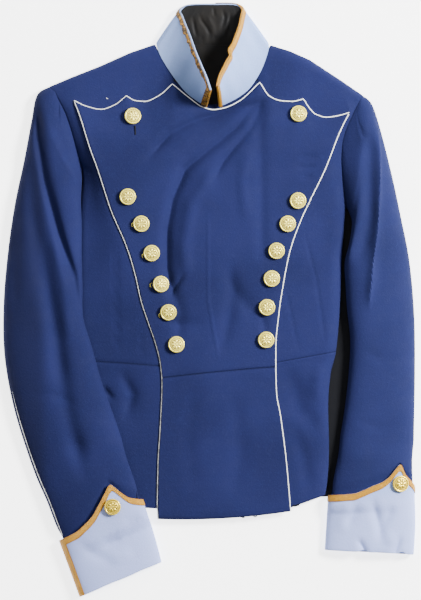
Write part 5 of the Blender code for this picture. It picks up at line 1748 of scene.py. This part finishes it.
def sleeve_piping(side, arm, steps):
    """White piping in the hind-arm seam, from below the elbow to the cuff."""
    first, last = int(PIPED_FROM * ARM_ROWS), steps.index(WRIST[side])
    spots = [(arm.points[row, PIPING_COLUMN], arm.normals[row, PIPING_COLUMN]) for row in range(first, last)]
    line = [point + normal * SLEEVE_PIPING_RADIUS for point, normal in spots]
    cord(f"sleeve_piping_{side}", line, SLEEVE_PIPING_RADIUS, "white_piping", tapered=SLEEVE_PIPING_TAPER)


def hem_dip(side, column, upper_cells):
    """How far a cuff's worn hem is drawn up at a column."""
    share = round_share(min(column, upper_cells), upper_cells)
    return sum(size * bell(share - place, width) for size, place, width in HEM_DIPS[side])


def cuff_pieces(side, arm, upper_cells, steps):
    """A cuff round the sleeve's end with a pointed upper edge, and the lace along it."""
    wrist, last = steps.index(WRIST[side]), len(steps) - 1

    def row_places(column):
        line = [arm.points[row, column] for row in range(len(steps))]
        rise = edge_rise(side, arm, wrist, upper_cells, column)
        edge = run_back(line, wrist, rise)
        lace = run_back(line, wrist, rise - LACE_WIDTH)
        hem = run_back(line, last, hem_dip(side, column, upper_cells))
        return [*finer([edge, lace], LACE_ROWS), *finer([lace, hem], CUFF_ROWS)[1:]]

    net = sampled_net(arm, side, row_places)
    bed, top = LIE_GAP, LIE_GAP + CLOTH
    cuff = wall(f"cuff_{side}", net, net.cells, bed, top, "light_blue_wool", no_trim, roll=HEM_ROLL)
    lace = [cell for cell in net.cells if cell[0] < LACE_ROWS and cell[1] < upper_cells]
    if side == "right":
        lace += [cell for cell in net.cells if cell[0] >= LACE_ROWS and cell[1] < SLIT_LACE_CELLS]
    bed = top + SEWN_LIFT
    wall(f"cuff_lace_{side}", net, lace, bed, bed + LACE_THICKNESS, "gold_lace", no_trim, roll=LACE_ROLL)
    return cuff


def run_back(line, row, distance):
    """The row position at a distance above a row of a line of points, or below it if negative."""
    step = -1 if distance > 0 else 1
    left = abs(distance)
    while 0 < row < len(line) - 1 or left == abs(distance):
        length = (line[row + step] - line[row]).length
        if left <= length:
            return row + step * left / length
        left -= length
        row += step
    return row


def button_mesh():
    """A domed button with a raised rim, petals and a shank: points, faces, and hollows at points."""
    outline = [*((radius, BUTTON_HEIGHT - depth) for radius, depth in BUTTON_FACE), *BUTTON_SIDE]
    points, faces, hollows = [], [], []
    for ring, (radius, z) in enumerate(outline):
        for step in range(BUTTON_STEPS):
            angle = math.tau * step / BUTTON_STEPS
            petal = math.cos(PETALS * angle) if ring in PETAL_RINGS else 0
            height = z + PETAL_RELIEF * petal
            points.append(Vector((radius * math.cos(angle), radius * math.sin(angle), height)))
            hollows.append(1 if ring in HOLLOW_RINGS else max(-petal, 0))
    for ring in range(len(outline) - 1):
        for step in range(BUTTON_STEPS):
            a, b = ring * BUTTON_STEPS + step, ring * BUTTON_STEPS + (step + 1) % BUTTON_STEPS
            faces.append((a, a + BUTTON_STEPS, b + BUTTON_STEPS, b))
    top, last = len(points), (len(outline) - 1) * BUTTON_STEPS
    points += [Vector((0, 0, BUTTON_HEIGHT)), Vector((0, 0, 0))]
    hollows += [0, 0]
    for step in range(BUTTON_STEPS):
        beside = (step + 1) % BUTTON_STEPS
        faces.append((top, step, beside))
        faces.append((top + 1, last + beside, last + step))
    return points, faces, hollows


def button(name, tree, x, y):
    """A button standing on the cloth at (x, y), square to it."""
    spot, normal = drop_on(tree, x, y)
    points, faces, hollows = button_mesh()
    turn = Vector((0, 0, 1)).rotation_difference(normal)
    base = spot + normal * SEWN_LIFT
    mesh = bpy.data.meshes.new(name)
    mesh.from_pydata([(turn @ point + base) * MM for point in points], [], faces)
    dark = mesh.attributes.new("hollow", "FLOAT", "POINT")
    dark.data.foreach_set("value", hollows)
    return add_part(name, mesh, "gilt_brass")


def lying(tree, path, radius):
    """The middle line of a thread or wire that lies on a piece along a path of (X, Y, height above it)."""
    points = []
    for x, y, above in path:
        spot, normal = drop_on(tree, x, y)
        if spot is None:
            edge = tree.find_nearest(Vector((x, y, SHOULDER_HEIGHT)) * MM)[0] / MM
            spot, normal = Vector((x, y, edge.z)), Vector((0, 0, 1))
        points.append(spot + normal * (radius * THREAD_REST + above))
    return points


def small_extras(trees):
    """A buttonhole, brass loops beside the right buttons, lint, and dark thread ends at the hem."""
    for extra in EXTRAS:
        cord(extra.name, lying(trees[extra.on], extra.path, extra.radius), extra.radius, extra.finish, True)


def collar_extras():
    """The hook at the neck."""
    for extra in COLLAR_EXTRAS:
        cord(extra.name, [Vector(spot) for spot in extra.path], extra.radius, extra.finish, True)


def studio():
    """A pale floor, soft light mostly from the wearer's left, and a long lens straight above."""
    side = FLOOR_HALF_SIDE
    mesh = bpy.data.meshes.new("floor")
    corners = [(-side, -side, 0), (side, -side, 0), (side, side, 0), (-side, side, 0)]
    mesh.from_pydata(corners, [], [(0, 1, 2, 3)])
    floor = bpy.data.objects.new("floor", mesh)
    paper = Finish("pale_floor")
    grain = paper.noise(60, 3)
    tone = paper.blend(grain, *FLOOR_TONES)
    paper.finish(Base_Color=tone, Roughness=0.9, Emission_Color=(1, 1, 1, 1), Emission_Strength=FLOOR_GLOW)
    mesh.materials.append(paper.material)
    bpy.context.scene.collection.objects.link(floor)
    for name, place, size, power in LIGHTS:
        data = bpy.data.lights.new(name, "AREA")
        data.shape = "SQUARE"
        data.size = size
        data.energy = power
        lamp = bpy.data.objects.new(name, data)
        lamp.location = place
        lamp.rotation_euler = (-Vector(place)).to_track_quat("-Z", "Y").to_euler()
        bpy.context.scene.collection.objects.link(lamp)
    world = bpy.data.worlds.new("studio")
    world.use_nodes = True
    world.node_tree.nodes["Background"].inputs["Color"].default_value = (1, 1, 1, 1)
    world.node_tree.nodes["Background"].inputs["Strength"].default_value = WORLD_LIGHT
    bpy.context.scene.world = world
    lens = bpy.data.cameras.new("camera")
    lens.sensor_width = SENSOR_MM
    lens.lens = LENS_MM
    lens.clip_end = 100
    camera = bpy.data.objects.new("camera", lens)
    camera.location = (0, 0, PICTURE_HEIGHT * LENS_MM / SENSOR_MM + FOCUS_HEIGHT)
    bpy.context.scene.collection.objects.link(camera)
    bpy.context.scene.camera = camera


def main():
    for obj in list(bpy.context.scene.objects):
        if obj.type in ("LIGHT", "CAMERA") or obj.name == "Cube":
            bpy.data.objects.remove(obj, do_unlink=True)
    studio()
    front, back = front_net(), back_net()
    share_seam_normals(front, back)
    pieces = front_pieces(front)
    plastron_piping(front)
    back_piece = wall("back", back, back.cells, -CLOTH, 0, "blue_wool", flush=BACK_TOP_ROW)
    lining_piece = back_lining()
    collar_pieces()
    trees = {name: tree_of(piece) for name, piece in pieces.items()}
    beneath = {
        "right": tree_of(pieces["front_right"], pieces["skirt_right"], back_piece),
        "left": tree_of(back_piece, lining_piece),
    }
    for side, tree in beneath.items():
        arm, upper_cells, steps = arm_net(side, (tree, LIES_OVER_BELOW[side]))
        sleeve_pieces(side, arm, upper_cells, steps)
        if side == "right":
            sleeve_piping(side, arm, steps)
        cuff = cuff_pieces(side, arm, upper_cells, steps)
        button(f"cuff_button_{side}", tree_of(cuff), *CUFF_BUTTONS[side])
        for number, place in enumerate(BUTTONS[side], 1):
            button(f"button_{side}_{number}", trees["plastron"], *place)
    small_extras(trees)
    collar_extras()


main()
